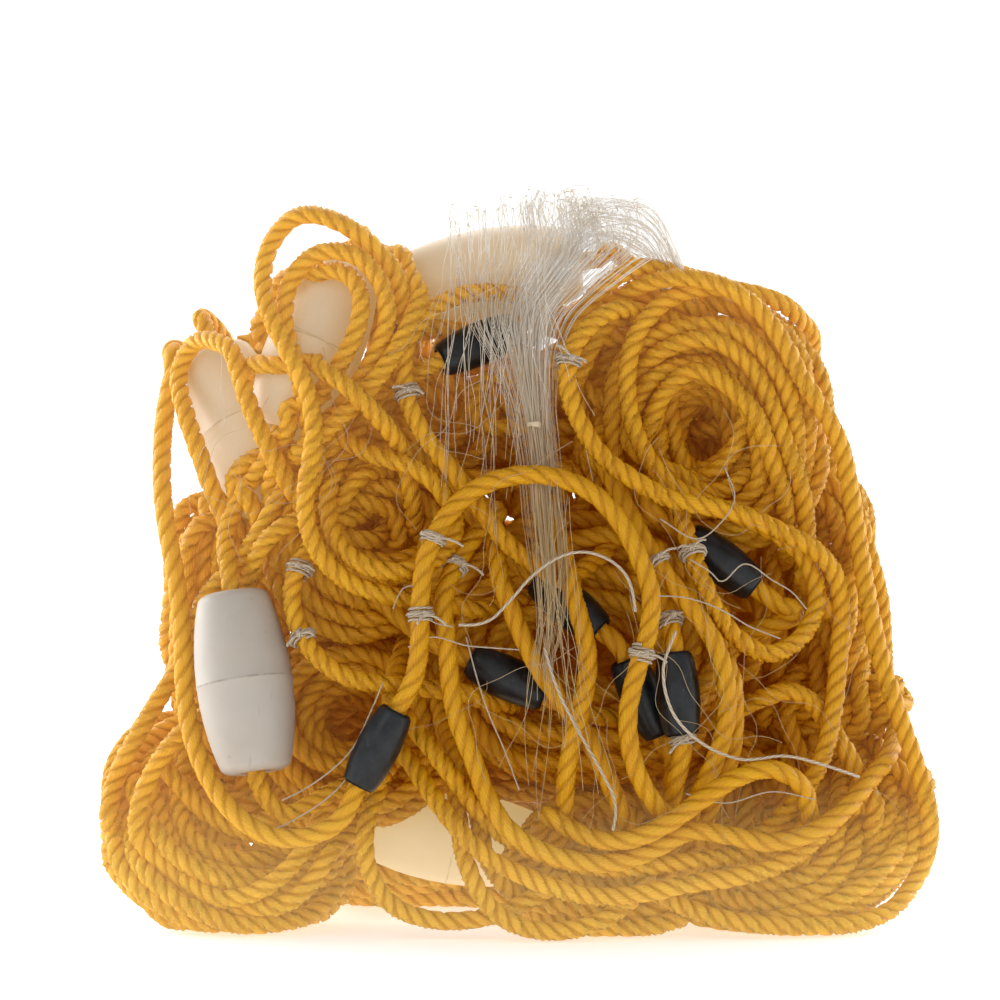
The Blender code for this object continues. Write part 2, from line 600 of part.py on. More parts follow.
def link(obj, material, collection):
    """Give an object its material, centre it over the origin and put it in the collection."""
    obj.data.materials.append(material)
    obj.location -= Vector(MIDDLE) * MM
    collection.objects.link(obj)
    return obj


def make_run(name, points, radius, material, collection):
    """A round tube along a run."""
    curve = bpy.data.curves.new(name, "CURVE")
    curve.dimensions = "3D"
    curve.bevel_depth = radius * MM
    curve.bevel_resolution = 2
    curve.use_fill_caps = True
    spline = curve.splines.new("POLY")
    spline.points.add(len(points) - 1)
    for knot, point in zip(spline.points, points * MM):
        knot.co = (*point, 1.0)
    return link(bpy.data.objects.new(name, curve), material, collection)


def make_turned(name, profile, bore, segments, middle, axis, material, collection):
    """A turned piece with a bore, its axis along the given direction."""
    mesh = bpy.data.meshes.new(name)
    rows = profile + [(bore, profile[-1][1]), (bore, profile[0][1])]
    edges = [(index, (index + 1) % len(rows)) for index in range(len(rows))]
    mesh.from_pydata([(radius * MM, 0, up * MM) for radius, up in rows], edges, [])
    obj = bpy.data.objects.new(name, mesh)
    screw = obj.modifiers.new("turn", "SCREW")
    screw.steps = segments
    screw.render_steps = segments
    screw.use_merge_vertices = True
    screw.merge_threshold = 0.00001
    obj.location = Vector(middle) * MM
    obj.rotation_mode = "QUATERNION"
    obj.rotation_quaternion = Vector(axis).to_track_quat("Z", "Y")
    return link(obj, material, collection)


def make_coil(coil, path, radii, material, collection):
    """A closed bundle of turns with a ridge for each main turn, flat where it rests."""
    section = bpy.data.curves.new(coil.name + "_section", "CURVE")
    ring = section.splines.new("POLY")
    count = 2 * coil.ridges
    ring.points.add(count - 1)
    for index in range(count):
        angle = 2 * math.pi * index / count
        reach = MM * (1.0 - RIDGE_DEPTH * (index % 2))
        ring.points[index].co = (reach * math.cos(angle), reach * math.sin(angle), 0.0, 1.0)
    ring.use_cyclic_u = True
    section_object = bpy.data.objects.new(coil.name + "_section", section)
    collection.objects.link(section_object)
    curve = bpy.data.curves.new(coil.name, "CURVE")
    curve.dimensions = "3D"
    curve.bevel_mode = "OBJECT"
    curve.bevel_object = section_object
    spline = curve.splines.new("POLY")
    spline.points.add(len(path) - 1)
    spline.use_cyclic_u = True
    parts = len(radii) // len(path)
    for index, knot in enumerate(spline.points):
        knot.co = (*(path[index] * MM), 1.0)
        knot.radius = radii[index * parts]
        knot.tilt = RIDGE_SWAY * math.sin(4 * math.pi * index / len(path))
    swept = bpy.data.objects.new(coil.name + "_sweep", curve)
    collection.objects.link(swept)
    bpy.context.view_layer.update()
    view = bpy.context.evaluated_depsgraph_get()
    mesh = bpy.data.meshes.new_from_object(swept.evaluated_get(view))
    mesh.name = coil.name
    body = bmesh.new()
    body.from_mesh(mesh)
    bmesh.ops.remove_doubles(body, verts=body.verts, dist=0.00001)
    for vertex in body.verts:
        vertex.co.z = max(vertex.co.z, 0.0)
    bmesh.ops.recalc_face_normals(body, faces=body.faces)
    body.to_mesh(mesh)
    body.free()
    bpy.data.objects.remove(swept)
    bpy.data.objects.remove(section_object)
    return link(bpy.data.objects.new(coil.name, mesh), material, collection)


def make_netting(material, collection):
    """The gathered netting: furrowed sections joined from its fan to its tail."""
    body = bmesh.new()
    rings = []
    for gather in GATHERS:
        ring = []
        for index in range(2 * FURROWS):
            angle = 2 * math.pi * index / (2 * FURROWS)
            reach = 1.0 - FURROW_DEPTH * (index % 2)
            x = gather.x + gather.half_width * reach * math.cos(angle)
            y = gather.y + gather.half_depth * reach * math.sin(angle)
            ring.append(body.verts.new((x * MM, y * MM, gather.z * MM)))
        rings.append(ring)
    for upper, lower in zip(rings, rings[1:]):
        for index in range(len(upper)):
            follow = (index + 1) % len(upper)
            body.faces.new((upper[index], lower[index], lower[follow], upper[follow]))
    body.faces.new(rings[0])
    body.faces.new(rings[-1][::-1])
    bmesh.ops.recalc_face_normals(body, faces=body.faces)
    mesh = bpy.data.meshes.new("netting")
    body.to_mesh(mesh)
    body.free()
    return link(bpy.data.objects.new("netting", mesh), material, collection)


def build():
    """Model the whole bundle."""
    for obj in list(bpy.data.objects):
        bpy.data.objects.remove(obj)
    collection = bpy.data.collections.new("gill_net")
    bpy.context.scene.collection.children.link(collection)
    rope = finish("yellow_rope", (0.85, 0.53, 0.05), 0.5)
    white = finish("white_float", (0.86, 0.83, 0.78), 0.45)
    slate = finish("slate_sinker", (0.05, 0.065, 0.08), 0.4)
    twine = finish("grey_twine", (0.62, 0.56, 0.47), 0.7)
    netting = finish("netting", (0.80, 0.76, 0.71), 0.35)
    finishes = {"float": white, "sinker": slate}
    segments = {"float": 16, "sinker": 12}

    layout = Layout()
    layout.spread()
    for run in ROPE_RUNS:
        make_run(run.name, layout.paths[run.name], run.radius, rope, collection)
    for run in TWINE_RUNS:
        make_run(run.name, layout.paths[run.name], run.radius, twine, collection)
    for bead in BEADS:
        middle, axis = layout.bead_axis(bead)
        kind = bead.barrel.kind
        make_turned(bead.name, bead_profile(bead.barrel), bead.barrel.bore, segments[kind],
                    middle, axis, finishes[kind], collection)
    for lashing in LASHINGS:
        points = layout.paths[lashing.run]
        gaps = np.linalg.norm(np.diff(points, axis=0), axis=1)
        reach = np.concatenate([[0], np.cumsum(gaps)])
        piece = np.searchsorted(reach, layout.lashing_mark(lashing)) - 1
        middle = (points[piece] + points[piece + 1]) / 2
        half = LASHING_LENGTH / 2
        edge = LASHING_RADIUS - LASHING_TAPER
        profile = [(edge, half), (LASHING_RADIUS, 0), (edge, -half)]
        make_turned(lashing.name, profile, LASHING_BORE, 12, middle,
                    points[piece + 1] - points[piece], twine, collection)
    for coil in COILS:
        make_coil(coil, layout.coils[coil.name], layout.coil_radii[coil.name], rope, collection)
    make_netting(netting, collection)


build()
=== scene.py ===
"""Gill net gathered into one upright bundle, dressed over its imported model.

Yellow laid ropes carry white barrel floats and dark sinkers, twine ties them, and the
netting is gathered into a fan of fine strands that hangs down the front.  Tables and
lengths are in millimetres, and every finished mesh is in metres, in the frame of the
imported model.  Shaders, lights and the camera work in metres.
"""

import itertools
import logging
import math
from dataclasses import dataclass
from enum import Enum

import bpy
import numpy as np
from mathutils import Matrix
from mathutils import Vector


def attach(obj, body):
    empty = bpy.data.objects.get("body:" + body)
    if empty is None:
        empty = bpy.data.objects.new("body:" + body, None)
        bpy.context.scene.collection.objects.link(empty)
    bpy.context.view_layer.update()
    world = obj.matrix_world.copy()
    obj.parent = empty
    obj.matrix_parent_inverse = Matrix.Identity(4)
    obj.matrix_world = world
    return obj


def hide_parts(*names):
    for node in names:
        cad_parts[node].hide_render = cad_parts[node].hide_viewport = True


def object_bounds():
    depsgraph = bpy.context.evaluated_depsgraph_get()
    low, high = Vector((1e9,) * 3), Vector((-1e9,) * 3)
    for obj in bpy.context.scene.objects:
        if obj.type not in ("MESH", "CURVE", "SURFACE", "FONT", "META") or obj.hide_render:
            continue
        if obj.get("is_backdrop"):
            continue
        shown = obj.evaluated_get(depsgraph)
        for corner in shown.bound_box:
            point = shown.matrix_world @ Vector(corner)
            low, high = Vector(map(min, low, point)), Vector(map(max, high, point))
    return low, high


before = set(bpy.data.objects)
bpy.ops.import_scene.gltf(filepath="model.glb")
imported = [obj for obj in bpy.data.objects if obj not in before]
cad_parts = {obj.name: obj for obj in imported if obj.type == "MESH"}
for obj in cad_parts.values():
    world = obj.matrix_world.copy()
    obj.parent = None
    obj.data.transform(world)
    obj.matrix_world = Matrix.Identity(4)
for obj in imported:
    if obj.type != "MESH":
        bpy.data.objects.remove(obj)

LOG = logging.getLogger("gill_net")
MM = 0.001
TURN = 2 * math.pi

# Driving dimensions, as in the part's source
ROPE_RADIUS = 4.0
TWINE_RADIUS = 0.6
CLEARANCE = 0.35
ROPE_PITCH = 16.0
TWINE_PITCH = 7.0
LAYER = 8.6
SKIN_POWER = 2.4
MIDDLE = (3.9, 0.4, 0.0)

# How the part's source moves its runs apart
ROUNDS = 160
SHARP_ROUNDS = 12
REFRESH = 5
PARTS = 5
MARGIN = 14.0
PUSH_SHARES = (0.45, 1.0, 0.45)
SMOOTHING = 0.22
BEND_LENGTH = 14.0
BEND_RADII = 1.2

# How finely curves are cut, run places are found and blocks are filled with balls
CURVE_PARTS = 12
LEAST_PIECES = 3
MARKS = 400
BLOCK_PARTS = 4
BEAD_BALLS = 9
BALL_GAP = 4.0
FIT_WINDOW = range(-4, 5)

# The free ropes: rounds of settling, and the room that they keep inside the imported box
SETTLE = 48
ROPE_MARGIN = 0.3
SEED = 20261


class Slot(Enum):
    """Material slots."""

    ROPE = "yellow_rope"
    FLOAT = "white_float"
    SINKER = "slate_sinker"
    TWINE = "grey_twine"
    NETTING = "netting"


@dataclass(frozen=True)
class Barrel:
    """A turned float or sinker."""

    kind: Slot
    length: float
    radius: float
    end_radius: float
    bore: float
    bulge_power: float = 0.7

    def reach(self, offset: float) -> float:
        """Radius at a distance from the middle."""
        share = min(1.0, abs(offset) / (self.length / 2))
        bulge = math.cos(math.pi / 2 * share) ** self.bulge_power
        return self.end_radius + (self.radius - self.end_radius) * bulge


@dataclass(frozen=True)
class Bead:
    """A barrel threaded on a run, at the point of the run nearest to x, z."""

    name: str
    barrel: Barrel
    run: str
    x: float
    z: float


@dataclass(frozen=True)
class Coil:
    """A closed bundle of turns, in a plane that leans back by lean and turns by yaw degrees."""

    name: str
    x: float
    y: float
    z: float
    half_width: float
    half_rise: float
    lean: float
    yaw: float
    radius: float
    steps: int

    def normal(self) -> np.ndarray:
        """Direction square to the coil's plane."""
        lean = math.radians(self.lean)
        yaw = math.radians(self.yaw)
        up = np.array([-math.sin(lean) * math.sin(yaw), math.sin(lean) * math.cos(yaw),
                       math.cos(lean)])
        return np.cross((math.cos(yaw), math.sin(yaw), 0.0), up)


@dataclass(frozen=True)
class Loose:
    """A few loose turns inside the bundle: their middle, half sizes, yaw and number."""

    x: float
    y: float
    z: float
    half_width: float
    half_rise: float
    yaw: float
    turns: float


# Outer form of the bundle: height, half width and half depth
GIRTHS = np.array([
    (0, 150, 70), (45, 168, 84), (100, 154, 80), (150, 142, 71), (200, 135, 57), (240, 118, 45),
    (270, 100, 35), (300, 84, 24),
])

# Routes of the ropes, read from the photo: x, z and how many layers each point lies below
# the outer form
ROPE_RUNS = {
    "lead_line_front": [
        (-131, 224, 1.5), (-135, 205, 1.2), (-136, 186, 1), (-134, 166, 1), (-130, 146, 1),
        (-127, 126, 1.2), (-126, 106, 1.4), (-124, 88, 1.2), (-118, 72, 0.8), (-110, 59, 0.3),
        (-99, 49, 0), (-87, 44, 0), (-75, 45, 0), (-64, 51, 0), (-55.5, 60, 0), (-47, 77, 0),
        (-39.5, 94, 0), (-36, 106, 0), (-34, 122, 0), (-34, 139, 0), (-32, 154, 0), (-26, 167, 0),
        (-16, 178, 0), (-3, 184, 0), (10, 186, 0), (24, 183, 0), (38, 175, 0), (48, 160, 0),
        (55, 144, 0), (56, 130, 0), (52, 114, 0), (47, 98, 0), (47, 81, 0), (51, 66, 0.2),
        (59, 54, 0.7), (67, 46, 1.6), (76, 40, 2.6),
    ],
    "float_line_left_loop": [
        (-78, 198, 3), (-66, 212, 2.5), (-54, 226, 2), (-45, 241, 1.5), (-40, 255, 1),
        (-46, 267, 0.6), (-56, 277, 0.3), (-67, 284, 0), (-79, 287, 0), (-89, 281, 0),
        (-95, 270, 0), (-96, 256, 0), (-91, 242, 0), (-83, 227, 0), (-77, 212, 0), (-76, 197, 0),
        (-79, 182, 0), (-80, 170, 0.2), (-77, 158, 0.4), (-70, 148, 0.6), (-59, 141, 0.7),
        (-48, 138, 0.8), (-39, 136, 1.3), (-29, 134, 2.1), (-18, 132, 3),
    ],
    "float_line_left_inner_loop": [
        (-72, 206, 2.6), (-60, 222, 1.8), (-52, 238, 1.3), (-50, 252, 1), (-55, 265, 0.8),
        (-65, 273, 0.8), (-77, 274, 0.8), (-87, 267, 0.9), (-93, 255, 1.1), (-92, 242, 1.2),
        (-88, 229, 1.5), (-84, 214, 1.8), (-82, 200, 2.4),
    ],
    "float_line_shoulder_loop": [
        (-112, 160, 3), (-118, 176, 2.2), (-123, 192, 1.6), (-128, 207, 1.2), (-131, 220, 1),
        (-127, 232, 0.8), (-118, 238, 0.7), (-109, 235, 0.7), (-103, 222, 0.6), (-98, 210, 0.6),
        (-92, 196, 0.8), (-86, 184, 1.1), (-80, 172, 1.6), (-74, 160, 2.4),
    ],
    "float_line_upper_ring": [
        (-70, 203, 2.4), (-60, 197, 1.8), (-48, 194, 1.5), (-36, 189, 1.4), (-27, 178, 1.6),
        (-24, 167, 1.8), (-28, 158, 1.6), (-37, 152, 1), (-48, 149.5, 0.5), (-60, 151, 0.3),
        (-70, 157, 0.6), (-76, 166, 1.1), (-78, 178, 1.6), (-75, 190, 2.2), (-68, 202, 3.2),
    ],
    "float_line_lower_ring": [
        (-72, 166, 2.2), (-80, 158, 1.4), (-86, 149, 1), (-88, 140, 0.8), (-87, 130, 0.7),
        (-82, 119, 0.5), (-74, 111, 0.4), (-63, 105, 0.4), (-52, 103, 0.5), (-41, 102, 1),
        (-30, 100, 1.7), (-20, 98, 2.5),
    ],
    "float_line_top_loop": [
        (24, 247, 3.6), (16, 251, 3.2), (9, 256, 2.6), (0, 260, 1.8), (-15, 262, 1),
        (-28, 258, 0.8), (-38, 250, 0.6), (-44, 240, 0.5), (-44, 224, 0.5), (-39, 208, 0.6),
        (-29, 193, 0.9), (-16, 177, 1.3), (-1, 157, 1.7), (10, 148, 2.1), (20, 141, 2.8),
    ],
    "lead_line_right_loop": [
        (58, 248, 2), (48, 252, 1.2), (37, 255, 0.7), (27, 250, 0.4), (20, 239, 0.3),
        (19, 226, 0.3), (23, 214, 0.3), (29, 202, 0.3), (37, 193, 0.3), (47, 186, 0.3),
        (58, 179, 0.3), (72, 175, 0.3), (87, 172, 0.3), (102, 165, 0.3), (116, 158, 0.3),
        (126, 150, 0.4), (132, 138, 0.5), (133, 124, 0.7), (132, 108, 0.8), (131, 92, 0.8),
        (128, 75, 0.8), (122, 61, 1), (114, 50, 1.6), (105, 42, 2.4),
    ],
    "float_line_right_loop": [
        (107, 226, 3), (100, 237, 1.6), (90, 244, 0.9), (78, 249, 0.7), (66, 252, 0.8),
        (55, 250, 0.9), (46, 242, 1), (40, 230, 1), (40, 218, 1), (42, 206, 1), (47, 194, 1.1),
        (55, 184, 1.3), (67, 174, 1.5), (82, 170, 1.5), (99, 163, 1.4), (112, 156, 1.3),
        (121, 146, 1.2), (124, 136, 1), (122, 126, 0.9), (115, 117, 0.8), (105, 113, 0.8),
        (94, 117, 0.8), (85, 127, 0.8), (78, 140, 0.9), (74, 152, 1.2), (70, 164, 2),
    ],
    "float_line_right_side": [
        (40, 250, 3), (53, 256, 2), (63, 258, 1.3), (73, 259, 0.8), (83, 257, 0.5), (94, 251, 0.4),
        (103, 242, 0.3), (109, 232, 0.3), (114, 221, 0.3), (122, 209, 0.3), (130, 194, 0.3),
        (134, 174, 0.3), (137, 152, 0.3), (141, 124, 0.3), (147, 99, 0.3), (157, 68, 0.3),
        (162, 48, 0.3), (160, 30, 0.3), (150, 15, 0.4), (136, 7, 0.4), (116, 4.8, 0.4),
        (94, 5.6, 0.5), (73, 10, 0.8), (55, 19, 1.5), (40, 26, 2.5),
    ],
    "lead_line_middle_sweep": [
        (-12, 162, 2.6), (-21, 150, 1.8), (-26, 138, 1), (-25, 124, 0.4), (-24, 107, 0.4),
        (-21, 90, 0.4), (-15, 75, 0.3), (-7, 55, 0.3), (4, 42, 0.3), (20, 35, 0.3), (38, 32, 0.3),
        (55, 37, 0.5), (72, 45, 0.9), (86, 43, 0.8), (99, 40, 0.6), (112, 41, 0.5), (124, 46, 0.4),
        (135, 53, 0.4), (145, 63, 0.5), (155, 73, 0.8), (160, 86, 1.5),
    ],
    "float_line_front_sweep": [
        (20, 47, 1.6), (32, 42, 0.8), (44, 41, 0.2), (61, 48, 0), (78, 60, 0), (90, 67, 0),
        (101, 70, 0), (111, 67, 0.2), (117, 59, 0.8), (119, 48, 1.8),
    ],
    "float_line_lower_sweep": [
        (-40, 72, 2), (-31, 60, 1.2), (-20, 46, 0.6), (-8, 34, 0.5), (6, 27, 0.5), (22, 21, 0.4),
        (40, 19, 0.4), (58, 22, 0.4), (75, 26, 0.4), (92, 28, 0.4), (106, 33, 0.5), (118, 41, 0.9),
        (128, 50, 1.6),
    ],
    "lead_line_bottom_left_loop": [
        (-52, 60, 2), (-57, 46, 1.2), (-57, 32, 0.8), (-51, 18, 0.6), (-41, 10, 0.5), (-27, 7, 0.5),
        (-10, 8, 0.5), (4, 13, 0.7), (16, 20, 1.4),
    ],
    "lead_line_bottom_loop": [
        (-24, 66, 1.5), (-22, 51, 0.9), (-19, 35, 0.6), (-12, 20, 0.4), (-1, 9, 0.3),
        (13, 4.8, 0.3), (28, 5.2, 0.4), (42, 11, 0.7), (53, 20, 1.4),
    ],
    "lead_line_right_drop": [
        (60, 150, 2), (63, 138, 1.2), (67, 119, 0.4), (69, 100, 0.3), (71, 81, 0.4), (69, 70, 0.6),
        (67, 58, 1.2), (66, 46, 2.2),
    ],
    "float_line_right_drop": [
        (38, 188, 3), (47, 170, 1.9), (57, 151, 1.2), (67, 136, 0.9), (77, 124, 0.7),
        (83, 112, 0.6), (86, 98, 0.6), (85, 83, 0.7), (80, 68, 1), (74, 55, 1.8),
    ],
    "float_line_front_float": [
        (-106, 176, 3.4), (-112, 160, 2.4), (-111, 148, 1.4), (-108, 137, 0.9), (-104, 100, 0.9),
        (-100, 63, 0.9), (-97, 54, 1), (-87, 50, 1.4), (-74, 56, 2.4),
    ],
    "float_line_top_left_float": [
        (-104, 178, 3.6), (-96, 192, 3.2), (-82, 228, 2.7), (-69, 264, 2.2), (-62, 274, 2.6),
    ],
    "float_line_shoulder_float": [
        (-125, 242, 3.1), (-122, 236, 3.2), (-108, 202, 3.6), (-96, 168, 4.2), (-90, 158, 4.8),
    ],
    "float_line_crown_float": [
        (-56, 256, 4.4), (-46, 260, 4.3), (-9, 266, 4.2), (28, 270, 4.1), (38, 270, 4),
    ],
    "float_line_bottom_float": [
        (-72, 42, 8.6), (-60, 37, 8.8), (-22, 30, 9), (16, 25, 9), (26, 26, 9),
    ],
    "lead_line_arch_sinker": [
        (62, 167, 2.6), (73, 157.5, 1.5), (87, 148.5, 1.1), (101, 139.5, 1.5), (109, 131, 2.4),
    ],
    "lead_line_crown_sinker": [
        (-46, 220, 3), (-33, 227, 2.1), (-17, 234, 1.8), (-1, 241, 2.1), (8, 245, 2.8),
    ],
    "lead_line_centre_sinker": [
        (-26, 115, 3.6), (-14, 108, 2.8), (0, 102.5, 2.4), (14, 97, 2.6), (25, 91, 3.4),
    ],
    "lead_line_inner_sinkers": [
        (4, 148, 3.8), (20, 142.5, 3.2), (34, 135.5, 2.9), (47, 129, 3.1), (48, 121, 3.1),
        (43, 113, 2.8), (51, 100, 2.4), (59, 87, 2.7), (63, 75, 3.4),
    ],
}
TWINE_RUNS = {
    "twine_arc": [
        (-20, 127, -0.7), (-9, 128, -0.7), (0, 136, -0.7), (8, 145, -0.7), (17, 152, -0.7),
        (27, 155.5, -0.7), (36, 154, -0.7), (43, 150, -0.7), (48, 143, -0.7), (50, 132, -0.7),
    ],
    "twine_right": [
        (66, 124, -0.6), (61, 110, -0.9), (63, 96, -1), (69, 86, -0.9), (80, 77, -0.6),
        (94, 72, -0.6), (110, 73, -0.6), (126, 69, -0.6), (140, 64, -0.6),
    ],
    "twine_long_end": [
        (14, 118, -0.5), (19, 102, -0.5), (27, 86, -0.5), (36, 70, -0.5), (42, 57, -0.5),
        (41, 46, -0.6),
    ],
}

# Slack turns that only the dressed bundle shows, between the runs and the coils
SLACK_RUNS = {
    "slack_centre": [
        (12, 176, 3.6), (20, 158, 2.4), (23, 142, 1.2), (27, 130, 0.8), (31, 115, 0.6),
        (30, 99, 0.6), (25, 80, 0.7), (22, 62, 1), (21, 46, 1.6), (18, 34, 2.6),
    ],
    "slack_diagonal": [
        (-16, 172, 3.4), (-8, 160, 2.4), (-5, 145, 1.7), (0, 134, 1.4), (6, 120, 1.3),
        (14, 106, 1.3), (24, 92, 1.4), (33, 78, 1.3), (40, 63, 1.4), (46, 50, 2), (52, 38, 3),
    ],
    "slack_sweep": [
        (-44, 92, 2.4), (-30, 75, 1.2), (-17, 57, 1), (-5, 44, 1), (10, 36, 1), (28, 30, 1),
        (46, 28, 1), (64, 30, 1), (82, 33, 1.2), (98, 36, 1.8), (112, 44, 2.8),
    ],
    "slack_left": [
        (-66, 180, 3), (-76, 172, 2), (-84, 169, 1.2), (-94, 164, 0.8), (-103, 155, 0.8),
        (-110, 142, 1.6), (-116, 124, 2.4), (-120, 106, 3.4),
    ],
    "slack_left_outer": [
        (-92, 172, 2.4), (-101, 162, 1.4), (-113, 149, 1), (-122, 138, 1), (-128, 124, 1.6),
        (-130, 108, 2.6),
    ],
    "slack_right_leg": [
        (74, 132, 3), (84, 115, 1.8), (89, 104, 1.4), (90, 91, 1.4), (89, 75, 1.6), (84, 60, 2.4),
        (78, 46, 3.4),
    ],
    "slack_bottom": [
        (-14, 66, 2.6), (-12, 49, 1.6), (-8, 31, 1.4), (4, 15, 1.4), (22, 9, 1.6), (40, 8, 2.2),
    ],
    "slack_right_low": [
        (94, 92, 3), (104, 96, 1.8), (115, 98, 1.2), (126, 92, 1), (134, 80, 1), (140, 66, 1.2),
        (146, 50, 1.4), (146, 34, 1.6), (138, 20, 2.2), (124, 12, 3),
    ],
    "slack_left_low": [
        (-142, 92, 2.6), (-150, 78, 1.4), (-158, 60, 1), (-160, 42, 0.8), (-156, 26, 0.8),
        (-146, 14, 0.8), (-130, 7, 0.8), (-112, 5.4, 0.8), (-94, 9, 0.8), (-82, 18, 1.2),
        (-74, 30, 2),
    ],
    "slack_left_lower": [
        (-120, 88, 2.8), (-132, 80, 1.6), (-142, 66, 1.2), (-147, 50, 1), (-145, 34, 1),
        (-136, 22, 1), (-122, 16, 1), (-106, 16, 1), (-92, 24, 1), (-82, 36, 1.6), (-76, 48, 2.6),
    ],
    "slack_upper_right": [
        (60, 226, 3), (70, 236, 1.8), (84, 238, 1.2), (97, 230, 1), (106, 216, 1), (112, 200, 1),
        (117, 182, 1), (120, 164, 1.4), (120, 146, 2.4),
    ],
    "slack_nest": [
        (-99, 246, 1.6), (-95, 258, 0.4), (-91, 264, -0.2), (-82, 268, -0.5), (-73, 269, -0.6),
        (-64, 265, -0.6), (-60, 257, -0.6), (-60, 249, -0.6), (-63, 240, -0.6), (-69, 230, -0.4),
        (-76, 220, -0.1), (-84, 209, 0.4), (-90, 198, 1.4),
    ],
    "slack_nest_right": [
        (-88, 190, 2), (-80, 196, 0.8), (-69, 206, 0.1), (-59, 217, -0.3), (-50, 229, -0.2),
        (-44, 242, 0.2), (-41, 254, 0.9), (-44, 266, 1.8),
    ],
    "slack_nest_across": [
        (-96, 214, 2), (-88, 220, 0.6), (-78, 222, -0.5), (-68, 220, -0.8), (-58, 212, -0.6),
        (-50, 202, 0.2), (-44, 190, 1), (-40, 178, 2),
    ],
    "slack_crown": [
        (20, 232, 3.6), (25, 244, 2.8), (34, 254, 2.2), (45, 260.5, 1.8), (57, 262, 1.7),
        (70, 260, 2), (82, 253, 2.6), (90, 243, 3.4),
    ],
    "slack_crown_left": [
        (-60, 236, 3), (-48, 242, 3), (-34, 243, 3.2), (-20, 241, 3.6), (-8, 238, 3.8),
        (4, 232, 4.2),
    ],
    "slack_left_under": [
        (-134, 58, 3.4), (-124, 48, 3.8), (-112, 41, 4), (-100, 37, 4.2), (-88, 31, 4.4),
    ],
    "slack_left_behind": [
        (-130, 38, 4.6), (-117, 34, 4.8), (-104, 42, 4.8), (-92, 46, 5), (-80, 44, 5.2),
    ],
    "slack_crown_inner": [
        (30, 226, 3.8), (33, 240, 3.2), (41, 250, 2.8), (53, 254, 2.6), (66, 251, 2.8),
        (78, 243, 3.2), (84, 231, 4),
    ],
    "slack_upper_inner": [
        (58, 208, 3), (64, 220, 2.2), (76, 226, 1.6), (88, 220, 1.4), (98, 208, 1.4),
        (104, 192, 1.6), (108, 176, 2), (110, 160, 3),
    ],
}

# Points at x, y, z that carry some runs on from their first end, down behind the bundle
LEADS = {
    "lead_line_front": [
        (-138, 20, 229), (-138, 27, 232), (-135, 35, 231), (-130, 42, 226), (-124, 45, 216),
        (-120, 44, 203), (-118, 38, 190), (-117, 31, 178), (-117, 25, 166),
    ],
    "float_line_shoulder_float": [
        (-127, 34, 245), (-125, 39, 244), (-121, 44, 240), (-116, 47, 232), (-112, 47, 220),
        (-110, 43, 206), (-109, 37, 192), (-109, 30, 180), (-110, 25, 168),
    ],
    "float_line_right_loop": [
        (124, 17, 237), (124, 21, 231), (122, 25, 223), (119, 28, 212), (118, 29, 200),
        (119, 27, 189), (121, 24, 178),
    ],
    "float_line_right_side": [
        (34, -6, 248), (31, -3, 242), (30, 1, 234), (31, 4, 224), (34, 6, 212),
    ],
}

FLOAT = Barrel(Slot.FLOAT, 73.0, 19.4, 12.8, 5.2)
SINKER = Barrel(Slot.SINKER, 33.6, 8.8, 6.3, 5.1)
BEADS = [Bead(*row) for row in (
    ("float_front", FLOAT, "float_line_front_float", -104, 100),
    ("float_top_left", FLOAT, "float_line_top_left_float", -82, 228),
    ("float_shoulder", FLOAT, "float_line_shoulder_float", -108, 202),
    ("float_crown", FLOAT, "float_line_crown_float", -9, 268),
    ("float_bottom", FLOAT, "float_line_bottom_float", -22, 30),
    ("sinker_left", SINKER, "lead_line_front", -47, 77),
    ("sinker_right", SINKER, "lead_line_right_drop", 69, 100),
    ("sinker_arch", SINKER, "lead_line_arch_sinker", 87, 148.5),
    ("sinker_crown", SINKER, "lead_line_crown_sinker", -17, 234),
    ("sinker_centre", SINKER, "lead_line_centre_sinker", 0, 102.5),
    ("sinker_inner", SINKER, "lead_line_inner_sinkers", 51, 100),
    ("sinker_deep", SINKER, "lead_line_inner_sinkers", 33, 136),
)]

# Twine wound round a run, near x, z: the part's lashings, and the small ties that only the
# dressed bundle shows
LASHINGS = {
    "lashing_top_loop": ("float_line_top_loop", -44, 223),
    "lashing_left_ring": ("float_line_lower_ring", -86, 145),
    "lashing_centre_loop": ("lead_line_front", -34, 124),
    "lashing_right_leg": ("lead_line_front", 56, 122),
    "lashing_sinker_top": ("lead_line_right_drop", 66, 126),
}
TIES = [
    ("float_line_lower_ring", -82, 122), ("lead_line_front", -30, 160),
    ("float_line_right_loop", 74, 152), ("lead_line_right_drop", 71, 81),
    ("lead_line_right_loop", 20, 232), ("lead_line_middle_sweep", -21, 150),
    ("float_line_right_drop", 58, 150), ("float_line_left_loop", -45, 241),
]
LASHING_LENGTH = 5.0
LASHING_RADIUS = 5.8

# Thin twines over the front, at x, z
LOOSE_TWINES = [
    [(-17, 122), (-13, 107), (-8, 92), (-2, 78), (4, 62)],
    [(-90, 57), (-82, 61), (-72, 68), (-62, 78), (-55, 92), (-50, 104)],
    [(-96, 44), (-84, 50), (-70, 60), (-60, 72), (-54, 84)],
    [(58, 138), (70, 137), (80, 134), (88, 130), (96, 125), (108, 120)],
    [(72, 152), (80, 147), (85, 143), (94, 150), (105, 143), (113, 138), (119, 131)],
    [(-46, 133), (-42, 141), (-36, 141), (-37, 134), (-30, 128), (-22, 126)],
    [(-40, 118), (-30, 122), (-18, 119), (-8, 118), (4, 117)],
    [(60, 168), (74, 160), (84, 166), (90, 176), (86, 188)],
    [(70, 60), (86, 56), (104, 60), (122, 56)],
]

